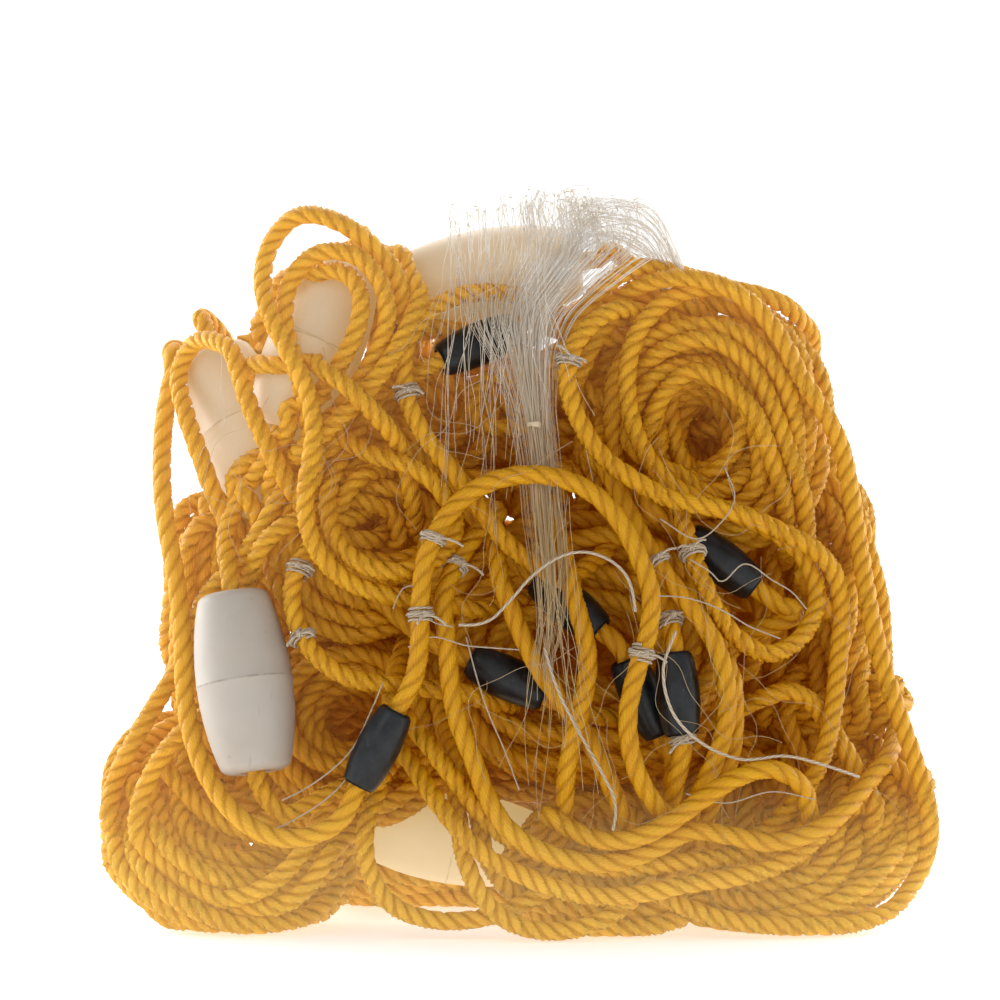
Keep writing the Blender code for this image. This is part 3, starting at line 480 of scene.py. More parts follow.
# The coils of the part, and the loose turns that fill the room between them
COILS = [Coil(*row) for row in (
    ("coil_left", -114, 0, 38, 32, 40, 46, 20, 20, 20),
    ("coil_right", 114, 0, 38, 34, 40, 46, -20, 20, 20),
    ("coil_bottom", 36, -26, 22, 26, 20, 34, 0, 13, 16),
    ("coil_low_left", -60, -12, 84, 28, 26, 20, 0, 15, 16),
    ("coil_upper_right", 80, -7, 200, 29, 33, 8, -8, 19, 18),
    ("coil_upper_left", -62, 30, 228, 18, 36, 4, 0, 12, 16),
    ("coil_left_middle", -56, -14, 160, 24, 24, 8, 8, 16, 16),
    ("coil_centre", 30, -14, 112, 44, 34, 6, -4, 18, 20),
    ("coil_left_side", -112, 18, 124, 15, 42, -6, 20, 14, 16),
    ("coil_right_side", 124, 16, 128, 15, 50, -4, -20, 14, 16),
    ("coil_back_low", -2, 49, 56, 86, 36, -10, 4, 29, 26),
    ("coil_back_high", 8, 38, 168, 62, 32, -10, -4, 22, 20),
)]
COIL_CLEARANCE = 0.6
LEAST_COIL = 2.0
COIL_CORNERS = 24
LOOSE_TURNS = [Loose(*row) for row in (
    (20, 0, 168, 30, 22, 5, 2.2), (-10, -4, 150, 26, 20, -10, 2), (40, 4, 150, 26, 24, 12, 2),
    (10, -8, 78, 40, 18, 0, 2.4), (-10, 2, 60, 44, 16, 6, 2.2), (40, -2, 60, 34, 18, -8, 2.2),
    (70, 6, 92, 24, 30, 16, 2), (92, 0, 110, 24, 28, -14, 2), (-28, 4, 110, 22, 30, 10, 2),
    (-90, 4, 150, 24, 30, -12, 2), (-86, 8, 196, 22, 26, 12, 2), (-34, 8, 200, 30, 24, -6, 2),
    (0, 10, 214, 34, 20, 4, 2), (38, 12, 226, 24, 22, 10, 2), (100, 12, 176, 20, 34, -16, 2),
    (66, -4, 140, 26, 22, 8, 2), (-118, 10, 84, 24, 28, -20, 2), (127, 11, 81, 24, 28, 20, 2),
    (0, 22, 110, 60, 26, 0, 2.4), (-60, 34, 120, 36, 30, -14, 2.2), (70, 34, 120, 36, 30, 14, 2.2),
    (0, 44, 118, 70, 18, 0, 2), (-96, 26, 60, 30, 30, -18, 2), (96, 26, 60, 30, 30, 18, 2),
    (84, 22, 208, 22, 26, 8, 2.2), (30, 26, 222, 30, 20, 6, 2), (0, 18, 66, 40, 16, 0, 2),
    (44, 16, 60, 30, 18, 4, 2), (-114, 18, 50, 26, 24, -16, 2), (140, 18, 84, 14, 26, 24, 2),
    (94, 20, 130, 26, 22, -8, 2), (104, 10, 50, 26, 22, 14, 2), (150, 4, 44, 10, 26, 40, 2),
    (64, 30, 232, 26, 16, 6, 2), (-40, 26, 168, 30, 24, 0, 2), (-100, 24, 176, 20, 26, -10, 2),
    (8, 18, 172, 24, 10, 0, 2.2), (2, 4, 176, 14, 8, 0, 2), (88, 14, 211, 14, 12, 0, 2.4),
    (76, 20, 206, 12, 12, 0, 2), (-20, 16, 230, 24, 14, 0, 2.4), (122, 8, 194, 10, 22, -20, 2),
    (-106, 6, 41, 14, 14, 10, 2.4), (146, 6, 88, 8, 20, 20, 2), (34, 14, 244, 22, 10, 4, 2.2),
    (-104, 30, 228, 14, 14, 0, 2), (2, 26, 170, 22, 8, 0, 2), (38, 22, 168, 18, 10, 0, 2),
    (90, 24, 112, 16, 14, 0, 2), (148, 16, 82, 8, 12, 20, 2), (-108, 22, 36, 14, 8, 0, 2),
    (80, 12, 201, 10, 8, 0, 2), (-6, 30, 66, 16, 10, 0, 2),
)]

# Gathered netting, from its fanned mesh ends down to its thin tail: x, y, z, half width
# and half depth of each flattened section
GATHERS = np.array([
    (22, -6, 303, 30, 4), (18, -14, 292, 41, 7), (20, -21, 276, 43, 8), (12, -28, 262, 32, 8),
    (5, -33, 248, 22, 7), (6, -37, 232, 14, 6.5), (9, -41, 212, 9.5, 6), (12, -46, 190, 8.5, 6),
    (14, -53, 168, 8.5, 5.5), (16, -60, 146, 7.5, 4.5), (16, -64, 126, 5.5, 3.5),
    (13, -66, 108, 4, 2.5),
])
GATHER_PITCH = 6.0


def unit(vector: np.ndarray) -> np.ndarray:
    """The vector at a length of one."""
    return vector / (np.linalg.norm(vector) + 1e-9)


def curve_points(points: np.ndarray, closed: bool, parts: int) -> np.ndarray:
    """Dense points on a Catmull-Rom curve, each span cut into parts, up to the curve's end."""
    points = np.array(points, dtype=float)
    if closed:
        padded = np.vstack([points[-1:], points, points[:2]])
    else:
        first = 2 * points[0] - points[1]
        last = 2 * points[-1] - points[-2]
        padded = np.vstack([first, points, last])
    a, b, c, d = (padded[k:len(padded) - 3 + k, None] for k in range(4))
    t = np.linspace(0, 1, parts, endpoint=False)[None, :, None]
    fine = 0.5 * (2 * b + (c - a) * t + (2 * a - 5 * b + 4 * c - d) * t**2
                  + (3 * b - a - 3 * c + d) * t**3)
    return np.vstack([fine.reshape(-1, points.shape[1]), padded[-2]])


def reach_along(points: np.ndarray) -> np.ndarray:
    """Distance of each point along the line from its first."""
    gaps = np.linalg.norm(np.diff(points, axis=0), axis=1)
    return np.concatenate([[0], np.cumsum(gaps)])


def resample(line: np.ndarray, pitch: float, least: int) -> tuple:
    """Even points along a line, in least pieces or more, and the line's length."""
    reach = reach_along(line)
    marks = np.linspace(0, reach[-1], max(least, round(reach[-1] / pitch)) + 1)
    even = np.column_stack([np.interp(marks, reach, column) for column in line.T])
    return even, reach[-1]


def smooth_path(points: np.ndarray, pitch: float, closed: bool = False) -> np.ndarray:
    """Even points on a curve through the given ones; on a closed one the last is the first."""
    return resample(curve_points(points, closed, CURVE_PARTS), pitch, LEAST_PIECES)[0]


def skin_depth(x: np.ndarray, z: np.ndarray) -> np.ndarray:
    """Half the depth of the bundle's outer form at a place in its front view."""
    half_width, half_depth = (np.interp(z, GIRTHS[:, 0], GIRTHS[:, k]) for k in (1, 2))
    share = np.clip(np.abs(x) / half_width, 0, 1) ** SKIN_POWER
    return half_depth * (1 - share) ** (1 / SKIN_POWER)


def place_run(route: list, pitch: float) -> np.ndarray:
    """Points in space of a run, from its places in the front view and its layers."""
    x, z, layer = smooth_path(route, pitch).T
    return np.column_stack([x, ROPE_RADIUS + LAYER * layer - skin_depth(x, z), z])


def nearest_mark(points: np.ndarray, x: float, z: float) -> tuple:
    """Distance along the points at which they pass nearest to x, z, and all distances."""
    reach = reach_along(points)
    marks = np.linspace(0, reach[-1], MARKS)
    xs = np.interp(marks, reach, points[:, 0])
    zs = np.interp(marks, reach, points[:, 2])
    return marks[np.argmin((xs - x) ** 2 + (zs - z) ** 2)], reach


def coil_path(coil: Coil) -> np.ndarray:
    """Centre line of a coil: two straight legs and two round ends, leaned and turned."""
    end = min(coil.half_width, coil.half_rise)
    leg_x = coil.half_width - end
    leg_z = coil.half_rise - end
    outline = []
    for step in range(COIL_CORNERS):
        angle = TURN * (step + 0.5) / COIL_CORNERS
        outline.append((end * math.cos(angle) + math.copysign(leg_x, math.cos(angle)),
                        end * math.sin(angle) + math.copysign(leg_z, math.sin(angle))))
    pitch = 2 * (math.pi * end + 2 * leg_x + 2 * leg_z) / coil.steps
    flat = smooth_path(outline, pitch, closed=True)[:-1]
    lean = math.radians(coil.lean)
    yaw = math.radians(coil.yaw)
    back = flat[:, 1] * math.sin(lean)
    x = coil.x + flat[:, 0] * math.cos(yaw) - back * math.sin(yaw)
    y = coil.y + flat[:, 0] * math.sin(yaw) + back * math.cos(yaw)
    return np.column_stack([x, y, coil.z + flat[:, 1] * math.cos(lean)])


def between(points: np.ndarray) -> np.ndarray:
    """The points of a closed line, with even ones added along each straight piece."""
    ends = np.vstack([points, points[:1]])
    return np.array([a + (b - a) * part / BLOCK_PARTS
                     for a, b in zip(ends, ends[1:]) for part in range(BLOCK_PARTS)])


def gather_rows(pitch: float) -> tuple:
    """Middles, half widths and half depths of even sections of the gathered netting."""
    rows = smooth_path(GATHERS[:, :3], pitch)
    rising = GATHERS[::-1]
    widths, depths = (np.interp(rows[:, 2], rising[:, 2], rising[:, k]) for k in (3, 4))
    return rows, widths, depths


def gather_balls() -> tuple:
    """Balls that fill the gathered netting, as centres and radii."""
    balls = []
    for (x, y, z), width, depth in zip(*gather_rows(GATHER_PITCH)):
        side = max(width - depth, 0)
        balls += [(x + across, y, z, depth)
                  for across in np.linspace(-side, side, 2 + int(side / BALL_GAP))]
    balls = np.array(balls)
    return balls[:, :3], balls[:, 3]


class Layout:
    """Runs, beads and coils in space, moved apart until nothing touches, as in the part."""

    def __init__(self) -> None:
        """Places the runs and fits the coils between them."""
        self.paths = {name: place_run(route, ROPE_PITCH) for name, route in ROPE_RUNS.items()}
        self.paths |= {name: place_run(route, TWINE_PITCH) for name, route in TWINE_RUNS.items()}
        self.coils = {coil.name: coil_path(coil) for coil in COILS}
        self.straight = {bead.name: self.bead_span(bead) for bead in BEADS}
        self.coil_radii = self.fit_coils()

    def bead_span(self, bead: Bead) -> tuple:
        """First and last point of the straight stretch that carries a bead."""
        points = self.paths[bead.run]
        mark, reach = nearest_mark(points, bead.x, bead.z)
        half = bead.barrel.length / 2
        first = max(0, np.searchsorted(reach, mark - half) - 1)
        last = min(len(points) - 1, np.searchsorted(reach, mark + half))
        return first, last

    def straighten(self) -> None:
        """Brings the points inside each bead onto its axis."""
        for bead in BEADS:
            first, last = self.straight[bead.name]
            points = self.paths[bead.run]
            for index in range(first + 1, last):
                share = (index - first) / (last - first)
                points[index] = points[first] + (points[last] - points[first]) * share

    def bead_axis(self, bead: Bead) -> tuple:
        """Middle and direction of a bead."""
        first, last = self.straight[bead.name]
        points = self.paths[bead.run]
        along = points[last] - points[first]
        return (points[first] + points[last]) / 2, along / np.linalg.norm(along)

    def bead_balls(self) -> tuple:
        """Balls that fill every bead, as centres and radii."""
        centres = []
        radii = []
        for bead in BEADS:
            middle, axis = self.bead_axis(bead)
            for offset in np.linspace(-0.5, 0.5, BEAD_BALLS) * bead.barrel.length:
                centres.append(middle + axis * offset)
                radii.append(bead.barrel.reach(offset))
        return np.array(centres), np.array(radii)

    def fit_coils(self) -> dict:
        """Radius of each coil along its centre line, clear of beads, netting and coils."""
        self.straighten()
        solid, solid_radii = (np.concatenate(both)
                              for both in zip(self.bead_balls(), gather_balls()))
        fine = {name: between(path) for name, path in self.coils.items()}
        fitted = {}
        for coil in COILS:
            path = fine[coil.name]
            gaps = np.linalg.norm(path[:, None] - solid[None], axis=2) - solid_radii
            limit = np.minimum(coil.radius, gaps.min(axis=1) - COIL_CLEARANCE)
            for other in COILS:
                if other.name == coil.name:
                    continue
                space = np.linalg.norm(path[:, None] - fine[other.name][None], axis=2)
                share = coil.radius / (coil.radius + other.radius)
                limit = np.minimum(limit, share * space.min(axis=1) - COIL_CLEARANCE)
            low = np.min([np.roll(limit, step) for step in FIT_WINDOW], axis=0)
            even = np.mean([np.roll(low, step) for step in FIT_WINDOW], axis=0)
            fitted[coil.name] = np.maximum(even, LEAST_COIL)
        return fitted

    def lashing_mark(self, name: str) -> float:
        """Distance along its run of a lashing's middle, half way along a straight piece."""
        run, x, z = LASHINGS[name]
        mark, reach = nearest_mark(self.paths[run], x, z)
        middles = (reach[1:] + reach[:-1]) / 2
        return middles[np.argmin(np.abs(middles - mark))]

    def radii_along(self, name: str, low: np.ndarray, high: np.ndarray,
                    share: np.ndarray) -> tuple:
        """Radius that each fine point of a run keeps clear, and its distance along the run.

        A fine point lies at a share of the way from the run's point low to its point high.
        """
        reach = reach_along(self.paths[name])
        marks = reach[low] * (1 - share) + reach[high] * share
        radii = np.full(len(marks), TWINE_RADIUS if name in TWINE_RUNS else ROPE_RADIUS)
        for bead in BEADS:
            if bead.run == name:
                first, last = self.straight[bead.name]
                middle = (reach[first] + reach[last]) / 2
                for index, mark in enumerate(marks):
                    if abs(mark - middle) <= bead.barrel.length / 2:
                        radii[index] = bead.barrel.reach(mark - middle)
        for lashing, (run, _, _) in LASHINGS.items():
            if run == name:
                near = np.abs(marks - self.lashing_mark(lashing)) <= LASHING_LENGTH
                radii[near] = np.maximum(radii[near], LASHING_RADIUS)
        return radii, marks

    def fine_points(self, starts: np.ndarray) -> tuple:
        """Fine points of every run, as columns.

        They are the vertices before and after each point, its share of the way between
        them, its run's number, the radius that it keeps clear and its distance along.
        """
        rows = []
        for number, (name, path) in enumerate(self.paths.items()):
            steps = np.arange((len(path) - 1) * PARTS + 1)
            low = steps // PARTS
            high = np.minimum(low + 1, len(path) - 1)
            share = (steps % PARTS) / PARTS
            rows.append((low + starts[number], high + starts[number], share,
                         np.full(len(steps), number),
                         *self.radii_along(name, low, high, share)))
        return tuple(np.concatenate(column) for column in zip(*rows))

    def spread(self) -> None:
        """Moves the runs apart, mostly in depth, until they clear each other and the coils."""
        counts = [len(path) for path in self.paths.values()]
        starts = np.concatenate([[0], np.cumsum(counts)[:-1]])
        vertices = np.vstack(list(self.paths.values()))
        rest = vertices.copy()
        first, second, share, owner, radii, marks = self.fine_points(starts)
        apart = np.abs(marks[:, None] - marks[None])
        both = radii[:, None] + radii[None]
        skip = ((owner[:, None] == owner[None]) & (apart < BEND_LENGTH + BEND_RADII * both))
        need = both + CLEARANCE
        netting, netting_radii = gather_balls()
        blocks = np.vstack([between(path) for path in self.coils.values()] + [netting])
        block_radii = np.concatenate([*self.coil_radii.values(), netting_radii])
        block_need = radii[:, None] + block_radii[None] + CLEARANCE
        bias = np.array(PUSH_SHARES)
        low = np.zeros(len(vertices))
        np.maximum.at(low, first, radii)
        np.maximum.at(low, second, radii)
        for turn in range(ROUNDS):
            fine = vertices[first] * (1 - share)[:, None] + vertices[second] * share[:, None]
            if turn % REFRESH == 0:
                space = np.linalg.norm(fine[:, None] - fine[None], axis=2)
                near = np.nonzero((space < need + MARGIN) & ~skip)
                space = np.linalg.norm(fine[:, None] - blocks[None], axis=2)
                beside = np.nonzero(space < block_need + MARGIN)
            push = np.zeros_like(fine)
            hits = np.zeros(len(fine))
            for pairs, others, limits, halved in ((near, fine, need, 0.5),
                                                  (beside, blocks, block_need, 1.0)):
                gap = fine[pairs[0]] - others[pairs[1]]
                space = np.linalg.norm(gap, axis=1)
                close = space < limits[pairs]
                a = pairs[0][close]
                short = limits[pairs][close] - space[close]
                way = gap[close] * bias
                way /= np.linalg.norm(way, axis=1)[:, None] + 1e-6
                np.add.at(push, a, short[:, None] * way * halved)
                np.add.at(hits, a, 1)
            push /= np.maximum(hits, 1)[:, None] ** 0.5
            move = np.zeros_like(vertices)
            weight = np.zeros(len(vertices))
            for ends, part in ((first, 1 - share), (second, share)):
                np.add.at(move, ends, push * part[:, None])
                np.add.at(weight, ends, (hits > 0) * part)
            vertices += move / np.maximum(weight, 1)[:, None]
            if turn < ROUNDS - SHARP_ROUNDS:
                shift = vertices - rest
                for start, count in zip(starts, counts):
                    piece = shift[start:start + count]
                    piece[1:-1] += SMOOTHING * (piece[:-2] - 2 * piece[1:-1] + piece[2:])
                vertices = rest + shift
            vertices[:, 2] = np.maximum(vertices[:, 2], low + CLEARANCE)
            for name, start, count in zip(self.paths, starts, counts):
                self.paths[name] = vertices[start:start + count]
            self.straighten()


def near_pairs(points: np.ndarray, reach: float) -> tuple:
    """Indexes of the two points of each pair within reach of each other, found by cells."""
    cells = np.floor((points - points.min(axis=0)) / reach).astype(np.int64) + 1
    span = cells.max(axis=0) + 2
    keys = (cells[:, 0] * span[1] + cells[:, 1]) * span[2] + cells[:, 2]
    order = np.argsort(keys, kind="stable")
    ranked = keys[order]
    firsts = []
    seconds = []
    for dx, dy, dz in itertools.product((-1, 0, 1), repeat=3):
        wanted = keys + (dx * span[1] + dy) * span[2] + dz
        start = np.searchsorted(ranked, wanted, "left")
        count = np.searchsorted(ranked, wanted, "right") - start
        first = np.repeat(np.arange(len(points)), count)
        base = np.repeat(start - np.concatenate([[0], np.cumsum(count)[:-1]]), count)
        second = order[base + np.arange(len(first))]
        keep = first < second
        firsts.append(first[keep])
        seconds.append(second[keep])
    first = np.concatenate(firsts)
    second = np.concatenate(seconds)
    close = ((points[first] - points[second]) ** 2).sum(axis=1) < reach**2
    return first[close], second[close]


@dataclass
class Line:
    """A rope's centre line in the tangle, which of its points are held, and its piece."""

    name: str
    points: np.ndarray
    held: np.ndarray
    piece: str


class Tangle:
    """Rope lines, pushed clear of one another, of the beads and of the netting."""

    pitch = 5.0
    squeeze = 0.97
    margin = 4.0
    refresh = 4
    same_line = 3
    netting_gap = 0.6
    sharing = 0.6
    smoothing = 0.2
    sharp_rounds = 6

    def __init__(self, layout: Layout, lo: np.ndarray, hi: np.ndarray) -> None:
        """Keeps the beads that stay clear, and the corners of the space allowed."""
        self.beads = [(bead.barrel, *layout.bead_axis(bead)) for bead in BEADS]
        self.lo = lo
        self.hi = hi
        self.lines = []

    def add(self, name: str, points: np.ndarray, held: object = False, piece: str = "") -> None:
        """Adds a line whose held points never move, to be drawn as part of a piece."""
        still = np.zeros(len(points), dtype=bool) | held
        self.lines.append(Line(name, np.array(points), still, piece or name))

    def push_beads(self, points: np.ndarray, push: np.ndarray, hits: np.ndarray) -> None:
        """Adds the push of the beads to the points that they press."""
        for barrel, middle, axis in self.beads:
            offset = (points - middle) @ axis
            inside = np.abs(offset) < barrel.length / 2 + ROPE_RADIUS
            side = points - middle - offset[:, None] * axis
            far = np.linalg.norm(side, axis=1) + 1e-6
            short = barrel.radius + ROPE_RADIUS - far
            shape = 1 - (offset / (barrel.length / 2 + 2 * ROPE_RADIUS)) ** 2
            short -= (barrel.radius - barrel.end_radius) * (1 - np.clip(shape, 0, 1))
            hit = inside & (short > 0)
            push[hit] += side[hit] / far[hit, None] * short[hit, None]
            hits[hit] += 1

    def settle(self, rounds: int) -> None:
        """Moves what isn't held, round by round."""
        sizes = [len(line.points) for line in self.lines]
        starts = np.concatenate([[0], np.cumsum(sizes)[:-1]])
        points = np.vstack([line.points for line in self.lines])
        rest = points.copy()
        owner = np.repeat(np.arange(len(sizes)), sizes)
        place = np.concatenate([np.arange(size) for size in sizes])
        free = ~np.concatenate([line.held for line in self.lines])
        need = 2 * ROPE_RADIUS * self.squeeze
        netting, netting_radii = gather_balls()
        for turn in range(rounds):
            if turn % self.refresh == 0:
                first, second = near_pairs(points, need + self.margin)
                apart = np.abs(place[first] - place[second])
                keep = (owner[first] != owner[second]) | (apart > self.same_line)
                keep &= free[first] | free[second]
                first, second = first[keep], second[keep]
            gap = points[first] - points[second]
            space = np.sqrt((gap**2).sum(axis=1)) + 1e-6
            close = space < need
            a, b = first[close], second[close]
            way = gap[close] / space[close][:, None] * (need - space[close])[:, None]
            way *= np.where(free[a] & free[b], 0.5, 1.0)[:, None]
            push = np.zeros_like(points)
            hits = np.zeros(len(points))
            for ends, pushed in ((a, way), (b, -way)):
                np.add.at(push, ends, pushed)
                np.add.at(hits, ends, 1)
            self.push_beads(points, push, hits)
            offset = points[:, None] - netting[None]
            space = np.linalg.norm(offset, axis=2)
            short = netting_radii[None] + self.netting_gap * ROPE_RADIUS - space
            a, b = np.nonzero(short > 0)
            np.add.at(push, a, offset[a, b] / (space[a, b] + 1e-6)[:, None]
                      * short[a, b][:, None])
            np.add.at(hits, a, 1)
            push /= np.maximum(hits, 1)[:, None] ** self.sharing
            points[free] += push[free]
            if turn < rounds - self.sharp_rounds:
                shift = points - rest
                for start, size, line in zip(starts, sizes, self.lines):
                    piece = shift[start:start + size]
                    bend = np.zeros_like(piece)
                    bend[1:-1] = piece[:-2] - 2 * piece[1:-1] + piece[2:]
                    bend[line.held] = 0
                    piece += self.smoothing * bend
                points[free] = (rest + shift)[free]
            points[free] = np.clip(points[free], self.lo, self.hi)
        for start, size, line in zip(starts, sizes, self.lines):
            line.points = points[start:start + size]


@dataclass(frozen=True)
class Laid:
    """A laid rope: its size, how its strands lie and how finely it is drawn.

    The outline of a strand is given as places across it, from the groove at 0 to the next
    one at 1, with the share of the rope's radius at each.
    """

    radius: float = ROPE_RADIUS
    pitch: float = 19.5
    ring_gap: float = 2.6
    strands: int = 3
    outline: tuple = ((0.0, 0.74), (0.17, 0.955), (0.5, 1.0), (0.83, 0.955))
    map_length: float = 19.5
    curve_parts: int = 4
    least_rings: int = 6

    def skin(self, line: np.ndarray, turn: float = 0.0) -> tuple:
        """Surface of the rope along a line, with its first strand starting at a turn.

        It is given as corners, four-sided faces, end faces, and the turn and the length,
        counted in map lengths, at each face corner.
        """
        path, length = resample(curve_points(line, False, self.curve_parts), self.ring_gap,
                                self.least_rings)
        along = np.gradient(path, axis=0)
        along /= np.linalg.norm(along, axis=1)[:, None]
        start = np.cross(along[0], (0.0, 0.0, 1.0))
        if np.linalg.norm(start) < 0.1:
            start = np.cross(along[0], (1.0, 0.0, 0.0))
        normal = unit(start)
        normals = np.empty_like(path)
        for index, way in enumerate(along):
            normal = normal - way * normal.dot(way)
            normal = normal / math.sqrt(normal.dot(normal))
            normals[index] = normal
        binormals = np.cross(along, normals)
        steps = np.arange(len(path)) / (len(path) - 1)
        share = np.array([(strand + place) / self.strands for strand in range(self.strands)
                          for place, _ in self.outline])
        radii = self.radius * np.array([out for _, out in self.outline] * self.strands)[None]
        angle = turn + TURN * (length / self.pitch * steps[:, None] + share[None])
        corners = (path[:, None] + normals[:, None] * (radii * np.cos(angle))[..., None]
                   + binormals[:, None] * (radii * np.sin(angle))[..., None])
        rings, sides = len(path), len(share)
        lower = np.arange(rings - 1)[:, None] * sides
        side = np.arange(sides)[None]
        after = (side + 1) % sides
        faces = np.stack([lower + side, lower + after, lower + sides + after,
                          lower + sides + side], axis=-1)
        edge = np.append(share, 1.0)
        u = np.stack([edge[:-1], edge[1:], edge[1:], edge[:-1]], axis=-1)[None]
        v = np.stack([steps[:-1]] * 2 + [steps[1:]] * 2, axis=-1)[:, None]
        uvs = np.stack(np.broadcast_arrays(u, v * length / self.map_length), axis=-1)
        caps = [list(range(sides))[::-1], list(range((rings - 1) * sides, rings * sides))]
        return corners.reshape(-1, 3), faces.reshape(-1, 4), caps, uvs.reshape(-1, 4, 2)


def piece(name: str, surfaces: list, material: bpy.types.Material, slot: Slot,
          *nodes: str) -> bpy.types.Object:
    """One piece of surfaces in millimetres, in its finish, standing for CAD nodes."""
    starts = [0, *itertools.accumulate(len(surface[0]) for surface in surfaces)]
    corners = np.vstack([surface[0] for surface in surfaces])
    faces = np.vstack([surface[1] + start for surface, start in zip(surfaces, starts)])
    caps = [[corner + start for corner in cap]
            for surface, start in zip(surfaces, starts) for cap in surface[2]]
    mesh = bpy.data.meshes.new(name)
    mesh.from_pydata(((corners - np.array(MIDDLE)) * MM).tolist(), [], faces.tolist() + caps)
    layer = mesh.uv_layers.new(name="lay")
    flat = np.zeros((len(mesh.loops), 2), dtype=np.float32)
    flat[:faces.size] = np.vstack([surface[3] for surface in surfaces]).reshape(-1, 2)
    layer.data.foreach_set("uv", flat.ravel())
    smooth(mesh)
    return seat(bpy.data.objects.new(name, mesh), material, slot, *nodes)


def smooth(mesh: bpy.types.Mesh) -> None:
    """Shades a mesh smooth."""
    mesh.polygons.foreach_set("use_smooth", [True] * len(mesh.polygons))
    mesh.update()


def seat(obj: bpy.types.Object, material: bpy.types.Material, slot: Slot,
         *nodes: str) -> bpy.types.Object:
    """Links a piece, gives it its finish, and lets it ride on the model's body; the slot is not
    used.
    """
    if obj.name not in bpy.context.scene.collection.objects:
        bpy.context.scene.collection.objects.link(obj)
    obj.data.materials.append(material)
    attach(obj, "root")
    if nodes:
        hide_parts(*nodes)
    return obj


def operator(operation: str, swapped: bool = False) -> object:
    """A Python operator that adds a Math node of the two values."""
    def apply(one: "Val", other: object) -> "Val":
        """The node's value."""
        return one.maths(operation, *((other, one) if swapped else (one, other)))
    return apply


class Val:
    """One socket of a material, with Python's operators for its maths."""

    __add__ = __radd__ = operator("ADD")
    __sub__ = operator("SUBTRACT")
    __rsub__ = operator("SUBTRACT", swapped=True)
    __mul__ = __rmul__ = operator("MULTIPLY")
    __truediv__ = operator("DIVIDE")
    __pow__ = operator("POWER")

    def __init__(self, recipe: "Recipe", socket: bpy.types.NodeSocket) -> None:
        """Keeps the recipe that the socket belongs to."""
        self.recipe = recipe
        self.socket = socket

    def maths(self, operation: str, *values: object) -> "Val":
        """A Math node of these values."""
        return self.recipe.node("ShaderNodeMath", dict(enumerate(values)), operation=operation)

    def cosine(self) -> "Val":
        """Cosine of an angle in radians."""
        return self.maths("COSINE", self)

    def sine(self) -> "Val":
        """Sine of an angle in radians."""
        return self.maths("SINE", self)

    def wave(self) -> "Val":
        """From 1 down to 0 and back as an angle goes once round."""
        return self.cosine() * 0.5 + 0.5

    def between(self, low: float, high: float) -> "Val":
        """How far the value lies from low to high, kept from 0 to 1."""
        return self.recipe.node("ShaderNodeMapRange",
                                {"Value": self, "From Min": low, "From Max": high}, clamp=True)


class Recipe:
    """A material and the nodes that give it its finish."""

    def __init__(self, name: str, **settings: object) -> None:
        """Makes the material, with shader sockets set by name, _ standing for a space."""
        self.material = bpy.data.materials.new(name)
        self.material.use_nodes = True
        self.tree = self.material.node_tree
        self.dress(**settings)

    def node(self, kind: str, links: dict, output: object = 0, **settings: object) -> Val:
        """Adds a node and gives one of its outputs.

        Links are socket names or numbers, with a value or the socket that feeds them, and
        settings are properties, which are set first.
        """
        made = self.tree.nodes.new(kind)
        for key, value in settings.items():
            setattr(made, key, value)
        for key, value in links.items():
            self.feed(made.inputs[key], value)
        return Val(self, made.outputs[output])

    def feed(self, socket: bpy.types.NodeSocket, value: object) -> None:
        """Links a socket, or gives it an even value."""
        if isinstance(value, Val):
            self.tree.links.new(value.socket, socket)
        else:
            socket.default_value = value

    def dress(self, **values: object) -> bpy.types.Material:
        """Feeds the shader's sockets and returns the material."""
        shader = self.tree.nodes["Principled BSDF"]
        for key, value in values.items():
            self.feed(shader.inputs[key.replace("_", " ")], value)
        return self.material

    def place(self) -> Val:
        """Object coordinates."""
        return self.node("ShaderNodeTexCoord", {}, "Object")

    def split(self, where: Val) -> tuple:
        """The three values of a vector."""
        first = self.node("ShaderNodeSeparateXYZ", {0: where})
        return tuple(Val(self, socket) for socket in first.socket.node.outputs)

    def lay(self) -> tuple:
        """Turn and length of the lay, from the piece's own map."""
        return self.split(self.node("ShaderNodeUVMap", {}, uv_map="lay"))[:2]

    def vector(self, x: object, y: object, z: object) -> Val:
        """A vector of three values."""
        return self.node("ShaderNodeCombineXYZ", {0: x, 1: y, 2: z})

    def noise(self, where: Val, scale: float, detail: float = 2.0,
              roughness: float = 0.5) -> Val:
        """Noise over the given coordinates, from 0 to 1."""
        return self.node("ShaderNodeTexNoise", {"Vector": where, "Scale": scale,
                                                "Detail": detail, "Roughness": roughness})

    def streaks(self, where: Val, rotation: tuple, scale: tuple, detail: float,
                roughness: float) -> Val:
        """Noise drawn out into streaks."""
        drawn = self.node("ShaderNodeMapping",
                          {"Vector": where, "Rotation": rotation, "Scale": scale})
        return self.noise(drawn, 1.0, detail, roughness)

    def mix(self, share: object, low: object, high: object) -> Val:
        """A colour between two others."""
        return self.node("ShaderNodeMix", {0: share, 6: low, 7: high}, 2, data_type="RGBA")

    def bump(self, height: Val, distance: float, strength: float) -> Val:
        """A surface raised by height."""
        return self.node("ShaderNodeBump", {"Height": height, "Distance": distance,
                                            "Strength": strength})


